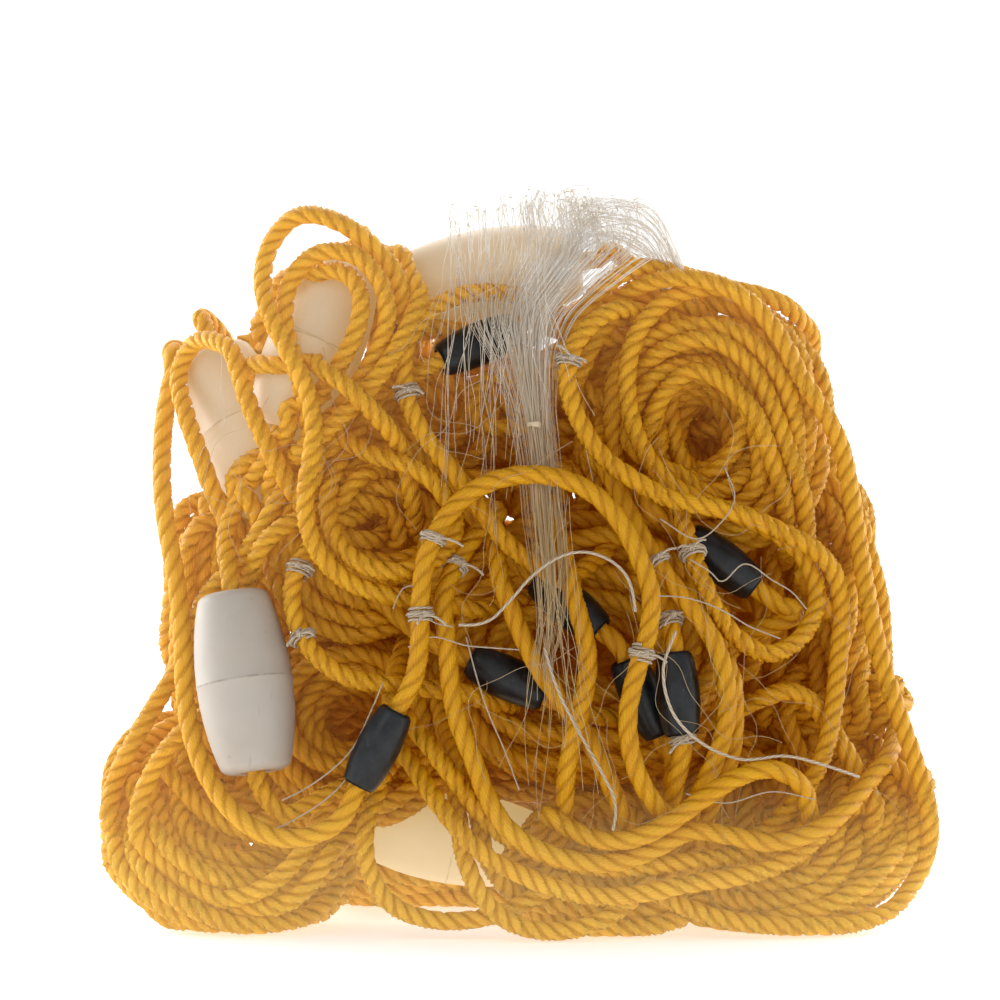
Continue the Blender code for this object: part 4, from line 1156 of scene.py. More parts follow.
@dataclass(frozen=True)
class RopeFinish:
    """Laid polypropylene: bright crests, painted shade of darker amber in the grooves between
    the strands, fine fibres along it.

    The glow is painted light: an emission that stands in for the light that comes through
    it, most at the bundle's outer edges and near the base, least round its heart and in the
    grooves.  Heights and places are in metres.
    """

    crest: tuple = (0.70, 0.374, 0.004, 1.0)
    # pale: paler fibre fuzz on the crests, partly a painted highlight
    pale: tuple = (0.78, 0.49, 0.018, 1.0)
    # groove: painted shade, the darker amber laid into the grooves between the strands
    groove: tuple = (0.34, 0.124, 0.002, 1.0)
    dusk: tuple = (0.60, 0.262, 0.003, 1.0)
    # inner_glow, outer_glow and base_glow: painted light, emission colours that stand in for light
    # through the rope
    inner_glow: tuple = (0.13, 0.022, 0.0002, 1.0)
    outer_glow: tuple = (1.0, 0.54, 0.150, 1.0)
    base_glow: tuple = (1.0, 0.80, 0.30, 1.0)
    strands: int = 3
    yarns: int = 21
    heart: tuple = (0.03, 0.10)
    heart_size: tuple = (0.16, 0.17)
    base_top: float = 0.060

    def material(self) -> bpy.types.Material:
        """Makes the material."""
        recipe = Recipe("yellow_rope", Specular_IOR_Level=0.28, IOR=1.49,
                        Emission_Strength=0.24)
        turn, length = recipe.lay()
        dip = (turn * (TURN * self.strands)).wave()
        around = (turn + length) * TURN
        ring = recipe.vector(around.cosine(), around.sine(), length * 0.42)
        streak = recipe.noise(ring, 5.5, 2.0, 0.7)
        fibre = recipe.noise(ring, 15.0, 2.0, 0.6)
        yarn = (around * self.yarns).wave()
        cloud = recipe.noise(recipe.place(), 40.0)
        body = recipe.mix((streak * 0.8 + cloud * 0.3).between(0.38, 0.72), self.dusk,
                          self.crest)
        # paler fibres away from the grooves: fuzz, and a painted highlight on the crests
        body = recipe.mix(fibre.between(0.56, 0.80) * (1 - dip) * 0.7, body, self.pale)
        # deep: painted shade in the grooves between the strands, and darker fibres at random
        deep = (dip ** 16.0 * streak.between(0.30, 0.66) * 0.62 + dip ** 3.0 * 0.16
                + (1 - fibre.between(0.18, 0.46)) * 0.26)
        colour = recipe.mix(deep.between(0.0, 1.0), body, self.groove)
        # painted glow: brighter towards the bundle's outer edges and near its base, dimmer at its
        # heart and in the grooves
        x, _, z = recipe.split(recipe.place())
        across = (x - self.heart[0]) / self.heart_size[0]
        rise = (z - self.heart[1]) / self.heart_size[1]
        outer = (across * across + rise * rise).between(0.3, 1.3) * (1 - dip ** 3.0 * 0.4)
        glow = recipe.mix(outer, self.inner_glow, self.outer_glow)
        base = (self.base_top - z).between(0.0, 0.038) * (0.84 - dip ** 3.0 * 0.34)
        glow = recipe.mix(base, glow, self.base_glow)
        height = (1 - dip ** 4.0) * 1.5 + fibre * 0.6 + yarn * 0.35
        return recipe.dress(Base_Color=colour, Emission_Color=glow,
                            Roughness=fibre * 0.24 + 0.32,
                            Normal=recipe.bump(height, 0.00032, 0.9))


@dataclass(frozen=True)
class FloatFinish:
    """Moulded foam plastic, off-white: scuffs, yellowed patches and a dark mould seam.

    The glow is painted light: an emission that stands in for the light that comes through it
    near the base and high up.
    """

    body: tuple = (0.485, 0.435, 0.38, 1.0)
    worn: tuple = (0.40, 0.345, 0.28, 1.0)
    scuff: tuple = (0.27, 0.225, 0.17, 1.0)
    # dark, base_glow and upper_glow: emission colours of the painted glow, none in the middle
    dark: tuple = (0.0, 0.0, 0.0, 1.0)
    base_glow: tuple = (1.0, 0.74, 0.31, 1.0)
    upper_glow: tuple = (0.60, 0.37, 0.12, 1.0)

    def material(self) -> bpy.types.Material:
        """Makes the material."""
        recipe = Recipe("white_float", Specular_IOR_Level=0.4, IOR=1.5,
                        Emission_Strength=0.42)
        place = recipe.place()
        cloud = recipe.noise(place, 28.0, 4.0, 0.6)
        grain = recipe.noise(place, 900.0, 3.0, 0.6)
        speck = recipe.noise(place, 240.0)
        streak = recipe.streaks(place, (0.5, 0.3, 0.9), (420.0, 36.0, 90.0), 2.0, 0.5)
        colour = recipe.mix(cloud.between(0.42, 0.72) * 0.55, self.body, self.worn)
        colour = recipe.mix(streak.between(0.70, 0.80) * 0.35, colour, self.scuff)
        colour = recipe.mix(speck.between(0.71, 0.78) * 0.3, colour, self.scuff)
        up = recipe.lay()[1]
        seam = (0.2 - up * up).between(0.0, 0.12) * speck.between(0.3, 0.6)
        colour = recipe.mix(seam * 0.7, colour, self.scuff)
        # painted glow: none in the middle, warm near the base and high up
        rise = recipe.split(place)[2]
        glow = recipe.mix(rise.between(0.145, 0.180), self.dark, self.upper_glow)
        glow = recipe.mix((0.062 - rise).between(0.0, 0.010), glow, self.base_glow)
        height = grain * 0.5 + cloud * 0.8 - streak.between(0.70, 0.80) * 0.3
        return recipe.dress(Base_Color=colour, Emission_Color=glow,
                            Roughness=grain * 0.2 + cloud * 0.12 + 0.36,
                            Normal=recipe.bump(height, 0.0002, 0.6))


@dataclass(frozen=True)
class SinkerFinish:
    """Dark slate plastic over lead, hazy, with paler scratches."""

    body: tuple = (0.005, 0.006, 0.007, 1.0)
    haze: tuple = (0.020, 0.023, 0.027, 1.0)
    scratch: tuple = (0.15, 0.16, 0.17, 1.0)

    def material(self) -> bpy.types.Material:
        """Makes the material."""
        recipe = Recipe("slate_sinker", Specular_IOR_Level=0.36, IOR=1.5)
        place = recipe.place()
        haze = recipe.noise(place, 130.0, 4.0, 0.65)
        streak = recipe.streaks(place, (0.3, 0.8, 0.2), (900.0, 110.0, 240.0), 3.0, 0.6)
        pit = recipe.noise(place, 1300.0)
        colour = recipe.mix(haze.between(0.40, 0.75), self.body, self.haze)
        colour = recipe.mix(streak.between(0.66, 0.78) * 0.6, colour, self.scratch)
        height = haze * 0.6 + pit * 0.4 - streak.between(0.66, 0.78) * 0.5
        return recipe.dress(Base_Color=colour, Roughness=haze * 0.34 + 0.16,
                            Normal=recipe.bump(height, 0.00018, 0.7))


@dataclass(frozen=True)
class TwineFinish:
    """Twisted greyish-beige twine, with painted shade in the grooves between its plies."""

    body: tuple = (0.62, 0.52, 0.39, 1.0)
    # groove: painted shade between the plies
    groove: tuple = (0.36, 0.28, 0.19, 1.0)
    plies: float = 3.0
    pitch: float = 3.4

    def material(self) -> bpy.types.Material:
        """Makes the material."""
        recipe = Recipe("grey_twine", Specular_IOR_Level=0.3, Sheen_Weight=0.2,
                        Sheen_Roughness=0.5)
        turn, length = recipe.lay()
        twist = ((turn * self.plies + length / self.pitch) * TURN).wave()
        fuzz = recipe.noise(recipe.place(), 1500.0, 2.0, 0.6)
        # the twist darkens the grooves between the plies, painted shade, mixed with random fuzz
        colour = recipe.mix((twist * 0.75 + fuzz * 0.5).between(0.2, 1.0), self.groove,
                            self.body)
        return recipe.dress(Base_Color=colour, Roughness=fuzz * 0.2 + 0.55,
                            Normal=recipe.bump(twist * 0.8 + fuzz * 0.2, 0.0003, 0.8))


@dataclass(frozen=True)
class NettingFinish:
    """Fine translucent nylon, whitish, warmer in patches, with painted shade that turns it darker
    and browner lower down and a faint painted glow of its own colour.
    """

    name: str = "netting"
    clear: tuple = (0.80, 0.755, 0.69, 1.0)
    warm: tuple = (0.70, 0.60, 0.47, 1.0)
    # low: painted shade, the darker brown of the netting lower down
    low: tuple = (0.48, 0.345, 0.175, 1.0)

    def material(self) -> bpy.types.Material:
        """Makes the material."""
        recipe = Recipe(self.name, Specular_IOR_Level=0.4, IOR=1.53, Emission_Strength=0.08)
        place = recipe.place()
        length = recipe.lay()[1]
        cloud = recipe.noise(place, 70.0, 3.0, 0.6)
        glint = recipe.noise(recipe.vector(length * 0.42, 0.0, cloud * 4.0), 1.0)
        colour = recipe.mix(cloud.between(0.40, 0.70), self.clear, self.warm)
        # painted shade: darker and browner below 0.28 m up, fully below 0.18 m
        rise = (recipe.split(place)[2] + cloud * 0.03).between(0.18, 0.28)
        colour = recipe.mix(rise, self.low, colour)
        # Emission_Color: a faint painted glow in the netting's own colour
        return recipe.dress(Base_Color=colour, Emission_Color=colour,
                            Roughness=glint * 0.25 + 0.28)


class RopeWork:
    """All the rope of the bundle: the runs, the coils and the slack and loose turns."""

    firm = Laid()
    soft = Laid(pitch=26.0, ring_gap=2.1, map_length=26.0, outline=(
        (0.0, 0.80), (0.13, 0.955), (0.37, 1.0), (0.63, 1.0), (0.87, 0.955)))
    soft_runs = ("lead_line_front", "lead_line_right_drop", "float_line_right_drop",
                 "slack_centre", "slack_diagonal", "lead_line_centre_sinker",
                 "lead_line_inner_sinkers", "lead_line_middle_sweep",
                 "float_line_front_sweep", "lead_line_arch_sinker", "slack_right_leg")
    slack_pitch = 10.0
    tail_lead = 7.0
    tail_look = 12.0
    tail_strides = (3, 6, 9, 12)
    tail_turning = 16.0
    tail_spread = 3.0
    held_within = 2.6
    fill = 0.78
    hollow = 0.55
    hollow_above = 24.0
    change_from = 0.8
    change_span = 0.2
    least_reach = 3.0
    wander_step = 12
    wander_size = 2.4
    wander_blur = 4
    loose_step = 10
    loose_thin = 4
    loose_depth = 7
    loose_wave = 5
    opening = 0.25
    sway_knots = 7
    sway_size = 4.0
    front_depth = 15.0

    def __init__(self, layout: Layout, lo: np.ndarray, hi: np.ndarray, rounds: int) -> None:
        """Routes every rope and lets the free ones settle between the corners lo and hi."""
        self.layout = layout
        self.random = np.random.default_rng(SEED)
        self.tangle = Tangle(layout, lo, hi)
        self.guides = [smooth_path(path, Tangle.pitch, closed=True)[:-1]
                       for path in layout.coils.values()]
        self.route_runs()
        for coil in COILS:
            self.route_coil(coil)
        for index, loose in enumerate(LOOSE_TURNS):
            self.route_loose(loose, index)
        self.tangle.settle(rounds)

    def tail(self, line: np.ndarray) -> np.ndarray:
        """Points that carry a line's end on into the nearest coil."""
        end = line[-1]
        way = unit(line[-1] - line[-3])
        best = math.inf
        for path in self.guides:
            turned = along_closed(path) @ way
            cost = (np.linalg.norm(path - end - self.tail_look * way, axis=1)
                    + self.tail_turning * (1 - np.abs(turned)))
            index = int(np.argmin(cost))
            if cost[index] < best:
                best = cost[index]
                guide = path
                start = index
                step = 1 if turned[index] > 0 else -1
        offset = self.random.normal(0, self.tail_spread, 3)
        return np.array([end + way * self.tail_lead]
                        + [guide[(start + step * stride) % len(guide)] + offset
                           for stride in self.tail_strides])

    def route_runs(self) -> None:
        """Adds the part's runs, held where they lie, and the slack runs, all with tails."""
        cores = {name: self.layout.paths[name] for name in ROPE_RUNS}
        cores |= {name: place_run(route, self.slack_pitch) for name, route in SLACK_RUNS.items()}
        for name, path in cores.items():
            core = smooth_path(path, Tangle.pitch)
            lead = LEADS.get(name, self.tail(core[::-1]))
            line = smooth_path(np.vstack([lead[::-1], core, self.tail(core)]), Tangle.pitch)
            held = np.zeros(len(line), dtype=bool)
            if name in ROPE_RUNS:
                space = np.linalg.norm(line[:, None] - core[None], axis=2).min(axis=1)
                inside = np.nonzero(space < self.held_within)[0]
                held[inside.min():inside.max() + 1] = True
            self.tangle.add(name, line, held)

    def route_loose(self, loose: Loose, index: int) -> None:
        """Adds a few loose turns that fill the room between the coils."""
        chance = self.random
        count = int(loose.turns * math.pi * (loose.half_width + loose.half_rise)
                    / self.loose_step)
        share = np.linspace(0, 1, count)
        angle = chance.uniform(0, TURN) + np.linspace(0, loose.turns * TURN, count)
        knots = np.linspace(0, 1, self.sway_knots)
        sway = np.column_stack([
            np.interp(share, knots, chance.normal(0, self.sway_size, self.sway_knots))
            for _ in range(3)])
        yaw = math.radians(loose.yaw)
        opening = np.linspace(self.opening, 1.0, count)
        across = loose.half_width * opening * np.cos(angle)
        deep = (np.linspace(-self.loose_depth, self.loose_depth, count)
                + self.loose_wave * np.sin(angle * 0.5 + index))
        flat = np.column_stack([across * math.cos(yaw) - deep * math.sin(yaw),
                                across * math.sin(yaw) + deep * math.cos(yaw),
                                loose.half_rise * opening * np.sin(angle)])
        points = np.array([loose.x, loose.y, loose.z]) + flat + sway
        points = smooth_path(points[::self.loose_thin], self.slack_pitch)
        side = "front" if loose.y < self.front_depth else "back"
        self.tangle.add(f"loose_{index}", smooth_path(points, Tangle.pitch),
                        piece=f"loose_turns_{side}")

    def slots(self, coil: Coil) -> np.ndarray:
        """Places of a coil's turns in its section, each near the one before."""
        hollow = self.hollow if coil.radius > self.hollow_above else 0.0
        count = max(3, round(self.fill * (coil.radius / ROPE_RADIUS) ** 2 * (1 - hollow**2)))
        index = np.arange(count) + 0.5
        far = np.sqrt(hollow**2 + (1 - hollow**2) * index / count)
        angle = index * math.pi * (3 - math.sqrt(5))
        places = np.column_stack([far * np.cos(angle), far * np.sin(angle)])
        order = [int(np.argmin(places[:, 1]))]
        left = set(range(count)) - set(order)
        while left:
            near = min(left, key=lambda k: float(((places[k] - places[order[-1]])**2).sum()))
            order.append(near)
            left.remove(near)
        return places[order]

    def route_coil(self, coil: Coil) -> None:
        """Winds one rope round a coil's middle line, turn after turn."""
        base = np.column_stack([between(self.layout.coils[coil.name]),
                                self.layout.coil_radii[coil.name]])
        guide = smooth_path(base, Tangle.pitch, closed=True)[:-1]
        middle = guide[:, :3]
        square = coil.normal()
        outward = np.cross(along_closed(middle), square)
        places = self.slots(coil)
        size = len(middle)
        total = size * len(places)
        knots = np.arange(0, total + 2 * self.wander_step, self.wander_step)
        wander = np.column_stack([
            np.interp(np.arange(total), knots, self.random.normal(0, 1.0, len(knots)))
            for _ in range(3)])
        wander = 0.5 * wander + 0.25 * (np.roll(wander, self.wander_blur, axis=0)
                                        + np.roll(wander, -self.wander_blur, axis=0))
        points = []
        for turn, (place, follow) in enumerate(zip(places, [*places[1:], places[-1]])):
            for index in range(size):
                share = np.clip((index / size - self.change_from) / self.change_span, 0, 1)
                share = share * share * (3 - 2 * share)
                across = place * (1 - share) + follow * share
                span = max(guide[index, 3] - ROPE_RADIUS, self.least_reach)
                points.append(middle[index] + outward[index] * across[0] * span
                              + square * across[1] * span
                              + wander[turn * size + index] * self.wander_size)
        self.tangle.add(coil.name, np.array(points))

    def dress(self, finish: RopeFinish) -> None:
        """Makes the rope pieces."""
        material = finish.material()
        nodes = {*ROPE_RUNS, *(coil.name for coil in COILS)}
        pieces = {}
        for line in self.tangle.lines:
            laid = self.soft if line.name in self.soft_runs else self.firm
            turn = float(self.random.uniform(0, TURN))
            pieces.setdefault(line.piece, []).append(laid.skin(line.points, turn))
        for name, surfaces in pieces.items():
            piece(name + "_rope", surfaces, material, Slot.ROPE, *({name} & nodes))
        total = sum(reach_along(line.points)[-1] for line in self.tangle.lines) * MM
        LOG.info("rope: %d pieces, %.1f m", len(pieces), total)


def along_closed(path: np.ndarray) -> np.ndarray:
    """Direction of a closed line at each of its points."""
    along = np.roll(path, -1, axis=0) - np.roll(path, 1, axis=0)
    return along / np.linalg.norm(along, axis=1)[:, None]


def ring_up(rows: list, scale: float) -> None:
    """Extrudes the selected ring of edges up through rows of radius and height."""
    for (radius, up), (wider, higher) in zip(rows, rows[1:]):
        bpy.ops.mesh.extrude_region_move(
            TRANSFORM_OT_translate={"value": (0, 0, (higher - up) * scale)})
        bpy.ops.transform.resize(value=(wider / radius, wider / radius, 1.0),
                                 center_override=(0, 0, higher * scale))


class Barrels:
    """Floats and sinkers, turned, with rounded rims, a moulded seam and a bore."""

    rim = 0.28
    rim_rows = 4
    body_rows = 14
    segments = 48
    lip = ((0.0, 2.4), (0.0, 0.9), (0.35, 0.25), (1.0, 0.0))
    seam_gap = 0.6
    float_seam = ((0.0, -0.55), (0.16, -0.2), (0.16, 0.2), (0.0, 0.55))
    sinker_seam = ((0.0, -0.3), (0.0, 0.3))
    dents = 9
    nick = (4.35, 0.4, 1.6, 0.7)

    def __init__(self, layout: Layout) -> None:
        """Keeps the layout that says where each bead sits."""
        self.layout = layout

    def rows(self, barrel: Barrel) -> list:
        """Radius and height of each ring of a barrel, from its lower bore over the body up."""
        half = barrel.length / 2
        edge = self.rim * barrel.end_radius
        inner = barrel.end_radius - edge
        rows = [(barrel.bore + out, -half + up) for out, up in self.lip]
        for step in range(self.rim_rows + 1):
            angle = math.pi / 2 * step / self.rim_rows
            rows.append((inner + (barrel.reach(half - edge) - inner) * math.sin(angle),
                         -half + edge - edge * math.cos(angle)))
        for step in range(1, self.body_rows):
            up = (half - edge) * math.sin(math.pi * (step / self.body_rows - 0.5))
            rows.append((barrel.reach(up), up))
        lower = [row for row in rows if row[1] < -self.seam_gap]
        seam = self.float_seam if barrel.kind is Slot.FLOAT else self.sinker_seam
        return (lower + [(barrel.radius + out, up) for out, up in seam]
                + [(radius, -up) for radius, up in reversed(lower)])

    def turn(self, bead: Bead) -> bpy.types.Object:
        """Draws a barrel's outline up ring by ring and joins its bore."""
        rows = self.rows(bead.barrel)
        bpy.ops.object.select_all(action="DESELECT")
        bpy.ops.mesh.primitive_circle_add(vertices=self.segments, radius=rows[0][0] * MM,
                                          fill_type="NOTHING",
                                          location=(0, 0, rows[0][1] * MM))
        obj = bpy.context.active_object
        bpy.ops.object.transform_apply(location=True)
        obj.name = bead.name + "_moulding"
        bpy.ops.object.mode_set(mode="EDIT")
        bpy.ops.mesh.select_all(action="SELECT")
        ring_up(rows, MM)
        bpy.ops.mesh.select_all(action="DESELECT")
        bpy.ops.object.mode_set(mode="OBJECT")
        mesh = obj.data
        for edge in mesh.edges:
            spots = [mesh.vertices[index].co for index in edge.vertices]
            at_end = any(all(abs(spot.z - row[1] * MM) < 1e-6 for spot in spots)
                         for row in (rows[0], rows[-1]))
            wide = max(spot.xy.length for spot in spots)
            edge.select = at_end and wide < (bead.barrel.bore + 0.1) * MM
        bpy.ops.object.mode_set(mode="EDIT")
        bpy.ops.mesh.select_mode(type="EDGE")
        bpy.ops.mesh.bridge_edge_loops()
        bpy.ops.mesh.select_all(action="SELECT")
        bpy.ops.mesh.normals_make_consistent(inside=False)
        bpy.ops.object.mode_set(mode="OBJECT")
        layer = mesh.uv_layers.new(name="lay")
        for loop, place in zip(mesh.loops, layer.data):
            spot = mesh.vertices[loop.vertex_index].co
            place.uv = (math.atan2(spot.y, spot.x) / TURN, spot.z / MM)
        return obj

    def dent(self, obj: bpy.types.Object, barrel: Barrel) -> None:
        """Presses shallow dents and one nick on the seam into a float."""
        chance = np.random.default_rng(len(obj.name) + SEED)
        spots = [(chance.uniform(0, TURN), chance.uniform(-0.4, 0.4) * barrel.length,
                  chance.uniform(2.5, 6.0), chance.uniform(0.15, 0.45))
                 for _ in range(self.dents)] + [self.nick]
        for vertex in obj.data.vertices:
            around = math.atan2(vertex.co.y, vertex.co.x) % TURN
            wide = vertex.co.xy.length / MM
            if wide < barrel.end_radius - 1:
                continue
            sink = 0.0
            for angle, up, size, depth in spots:
                turn = (around - angle + math.pi) % TURN - math.pi
                off = math.hypot(turn * wide, vertex.co.z / MM - up)
                sink += depth * math.exp(-(off / size) ** 2)
            vertex.co.x *= 1 - sink / wide
            vertex.co.y *= 1 - sink / wide

    def dress(self, floats: FloatFinish, sinkers: SinkerFinish) -> None:
        """Makes every float and sinker in its place."""
        materials = {Slot.FLOAT: floats.material(), Slot.SINKER: sinkers.material()}
        for bead in BEADS:
            obj = self.turn(bead)
            if bead.barrel.kind is Slot.FLOAT:
                self.dent(obj, bead.barrel)
            middle, axis = self.layout.bead_axis(bead)
            turned = Vector(axis).to_track_quat("Z", "Y").to_matrix().to_4x4()
            placed = Matrix.Translation((Vector(middle) - Vector(MIDDLE)) * MM)
            obj.data.transform(placed @ turned)
            smooth(obj.data)
            seat(obj, materials[bead.barrel.kind], bead.barrel.kind, bead.name)
        LOG.info("barrels: %d", len(BEADS))


def thread(radius: float, sides: int, ring_gap: float) -> Laid:
    """A thin round twine or filament."""
    return Laid(radius=radius, pitch=1e6, ring_gap=ring_gap, strands=1, map_length=1.0,
                outline=tuple((side / sides, 1.0) for side in range(sides)))


def helix(middle: np.ndarray, axis: np.ndarray, radius: float, length: float,
          turns: float, phase: float) -> np.ndarray:
    """Points of a helix about a straight axis, starting at an angle."""
    side = unit(np.cross(axis, (0.3, 0.2, 0.9)))
    other = np.cross(axis, side)
    steps = np.linspace(0, 1, int(turns * 12) + 2)
    angle = phase + TURN * turns * steps
    return (middle + np.outer((steps - 0.5) * length, axis)
            + radius * (np.outer(np.cos(angle), side) + np.outer(np.sin(angle), other)))


class TwineWork:
    """Lashings wound round the ropes, and the loose ends of twine over the front."""

    strand = thread(0.55, 6, 1.1)
    loose = thread(0.30, 5, 1.8)
    cord = thread(TWINE_RADIUS, 7, 1.4)
    lap_gap = 1.5
    laps = 4
    tie_laps = 3
    lap_radius = ROPE_RADIUS + 0.45
    knot_lift = 0.9
    end_curve = ((0, 0), (0.35, 0), (0.7, 0.8), (0.95, 2.2))
    far_ends = {"twine_arc": "object", "twine_right": "bare", "twine_long_end": "bare"}

    def __init__(self, layout: Layout) -> None:
        """Keeps the layout that says where the runs lie."""
        self.layout = layout
        self.random = np.random.default_rng(SEED + 1)

    def winding(self, middle: np.ndarray, axis: np.ndarray, laps: int) -> list:
        """One lashing: its laps, the two turns of its knot and two short ends."""
        chance = self.random
        high = self.lap_radius + self.knot_lift
        lines = [helix(middle, axis, self.lap_radius, laps * self.lap_gap, laps,
                       chance.uniform(0, 6))]
        tilted = unit(axis + chance.normal(0, 0.14, 3))
        lines.append(helix(middle, tilted, high, 1.2, 1.4, chance.uniform(0, 6)))
        front = np.array([chance.uniform(-0.5, 0.5), -1.0, chance.uniform(-0.3, 0.5)])
        front = unit(front - axis * front.dot(axis))
        cross = np.cross(axis, front)
        knot = middle + front * high
        for tilt in (0.7, -0.7):
            ring = unit(axis * math.cos(tilt) + cross * math.sin(tilt))
            lines.append(helix(knot, ring, 1.15, 1.0, 1.6, chance.uniform(0, 6)))
        for side in (1, -1):
            way = unit(cross * side + front * 0.5 + axis * chance.uniform(-0.6, 0.6))
            span = chance.uniform(5, 11)
            lines.append(np.array([knot + way * share * span - np.array([0, 0, drop])
                                   for share, drop in self.end_curve]))
        return [self.strand.skin(line) for line in lines]

    def dress(self, finish: TwineFinish) -> None:
        """Makes the lashings and the loose twines."""
        material = finish.material()
        for name, (run, _, _) in LASHINGS.items():
            points = self.layout.paths[run]
            mark = np.searchsorted(reach_along(points), self.layout.lashing_mark(name))
            before, after = points[mark - 1:mark + 1]
            winding = self.winding((before + after) / 2, unit(after - before), self.laps)
            piece(name + "_winding", winding, material, Slot.TWINE, name)
        ties = []
        for run, x, z in TIES:
            points = smooth_path(self.layout.paths[run], 2.0)
            mark, reach = nearest_mark(points, x, z)
            index = int(np.clip(np.searchsorted(reach, mark), 2, len(points) - 3))
            ties += self.winding(points[index], unit(points[index + 2] - points[index - 2]),
                                 self.tie_laps)
        piece("small_ties", ties, material, Slot.TWINE)
        ends = []
        for line in LOOSE_TWINES:
            x, z = smooth_path(line, 3.0).T
            y = ROPE_RADIUS * 0.1 - skin_depth(x, z) + np.sin(np.arange(len(x)) * 0.5)
            ends.append(self.loose.skin(np.column_stack([x, y, z])))
        piece("loose_ends", ends, material, Slot.TWINE)
        for name, far_end in self.far_ends.items():
            line = self.layout.paths[name]
            obj = piece(name + "_loose", [self.cord.skin(line)], material, Slot.TWINE, name)
        LOG.info("twine: %d lashings, %d small ties, %d loose", len(LASHINGS), len(TIES),
                 len(TWINE_RUNS))


class Netting:
    """The gathered netting: hairpins of filament fanned at the top and drawn together below."""

    filament = thread(0.14, 3, 3.0)
    stray_filament = thread(0.11, 3, 2.8)
    knot = thread(0.36, 5, 0.8)
    tie = thread(0.4, 5, 0.9)
    hairpins = 112
    fold_strands = 84
    veil_strands = 40
    tail_strands = 18
    strays = 44
    top = 300.0
    crest = 297.0
    drop = 186.0
    leg_gap = 4.5
    mesh_from = 262.0
    mesh_rise = 20.0
    mesh_width = 1.5
    mesh_wave = 0.62
    knots_from = 255.0
    set_back = 16.0
    arch_height = 260.0
    arch_reach = 11.0
    arch_end = 14.0
    tie_height = 205.0
    tie_tilts = (-0.12, 0.05, 0.2)
    windows = ((-30, 6, 180, 270, 8), (-122, -84, 160, 225, 0), (60, 124, 110, 200, 20),
               (-30, 40, 90, 170, 6), (10, 70, 50, 130, 14), (60, 140, 40, 120, 40))

    def __init__(self) -> None:
        """Reads the gathered sections."""
        self.random = np.random.default_rng(SEED + 2)
        rows, widths, depths = gather_rows(3.0)
        self.table = np.column_stack([rows, widths, depths])[::-1]

    def section(self, z: np.ndarray) -> np.ndarray:
        """Middle x, middle y, half width and half depth of the gather at some heights."""
        rising = self.table[:, 2]
        return np.column_stack([np.interp(z, rising, self.table[:, k]) for k in (0, 1, 3, 4)])

    def behind_arch(self, x: np.ndarray, z: np.ndarray) -> np.ndarray:
        """How far filaments are set back where they pass behind the arch of rope."""
        return (self.set_back * np.exp(-((z - self.arch_height) / self.arch_reach) ** 2)
                * np.clip((self.arch_end - x) / self.arch_end, 0, 1))

    def leg(self, across: float, deep: float, low: float, high: float,
            phase: float) -> np.ndarray:
        """One filament between two heights, from its lower end up to the fan.

        Across and deep are its place in the gather, from -1 to 1, and phase is the angle
        at which its meshes start, opposite on neighbours.
        """
        count = max(6, int((high - low) / self.leg_gap))
        z = np.linspace(low, high, count)
        share = np.linspace(0, 1, count)
        sway, dip = (np.interp(share, np.linspace(0, 1, 4), self.random.normal(0, size, 4))
                     for size in (0.05, 0.2))
        x, y, width, depth = self.section(z).T
        lateral = np.clip(across + sway, -1.02, 1.02)
        inward = np.clip(deep + dip, -1.0, 1.0)
        round_off = np.sqrt(np.clip(1.05 - lateral**2 * 0.9, 0.05, 1))
        open_mesh = (np.clip((z - self.mesh_from) / self.mesh_rise, 0, 1)
                     * np.clip(across + 0.45, 0.15, 1.0))
        x = (x + lateral * width
             + self.mesh_width * open_mesh * np.sin(phase + z * self.mesh_wave))
        y = y + inward * depth * round_off + self.behind_arch(x, z)
        return np.column_stack([x, y, z])

    def hairpin(self) -> np.ndarray:
        """A filament that rises, loops over at the fan's edge and comes down beside itself."""
        chance = self.random
        across = float(np.clip(chance.normal(0.02, 0.48), -1, 1))
        step = chance.uniform(0.03, 0.08) * chance.choice([-1, 1])
        deep = chance.uniform(-1, 0.6)
        depth = chance.choice([0.3, 0.5, 0.8, 1.0], p=[0.26, 0.34, 0.25, 0.15])
        low = self.top - depth * self.drop + chance.uniform(-14, 14)
        high = self.crest - 12 * max(0.0, abs(across) - 0.4) + chance.uniform(-7, 1.5)
        up = self.leg(across, deep, low, high, 0.0)
        down = self.leg(across + step, deep, low + chance.uniform(-8, 14), high, math.pi)
        top = (up[-1] + down[-1]) / 2 + np.array([0, 0, 1.6])
        return np.vstack([up, top, down[::-1]])

    def fold(self) -> np.ndarray:
        """A filament that rises in the fan, turns over and sweeps down to the right."""
        share = self.random.uniform(0, 1)
        crown = 276 + 19 * share
        start = self.random.uniform(2, 16)
        end = 58 + 14 * share
        line = np.array([
            (start, -36, 236), (start + 4, -31, 252), (start + 11, -25, crown - 14),
            (start + 21, -20, crown - 3), (start + 33, -17, crown),
            ((start + 33 + end) / 2 + 2, -15, crown - 5), (end, -12, 268 - 4 * share),
            (end + 3, -9, 256 - 5 * share)])
        return line + self.random.normal(0, 0.8, line.shape)

    def tail(self) -> np.ndarray:
        """A long filament that leaves the gather low down and wanders towards the base."""
        start = self.random.uniform(8, 24)
        end = start + self.random.normal(6, 12)
        z = np.linspace(self.random.uniform(140, 190), self.random.uniform(46, 100), 12)
        share = np.linspace(0, 1, 12)
        x = (start + (end - start) * share
             + 3.0 * share * np.sin(share * self.random.uniform(4, 9) + start))
        skin = -skin_depth(x, z) + ROPE_RADIUS * self.random.uniform(-0.4, 1.2)
        y = np.minimum(self.section(z)[:, 1] - 5, skin)
        return np.column_stack([x, y, z])

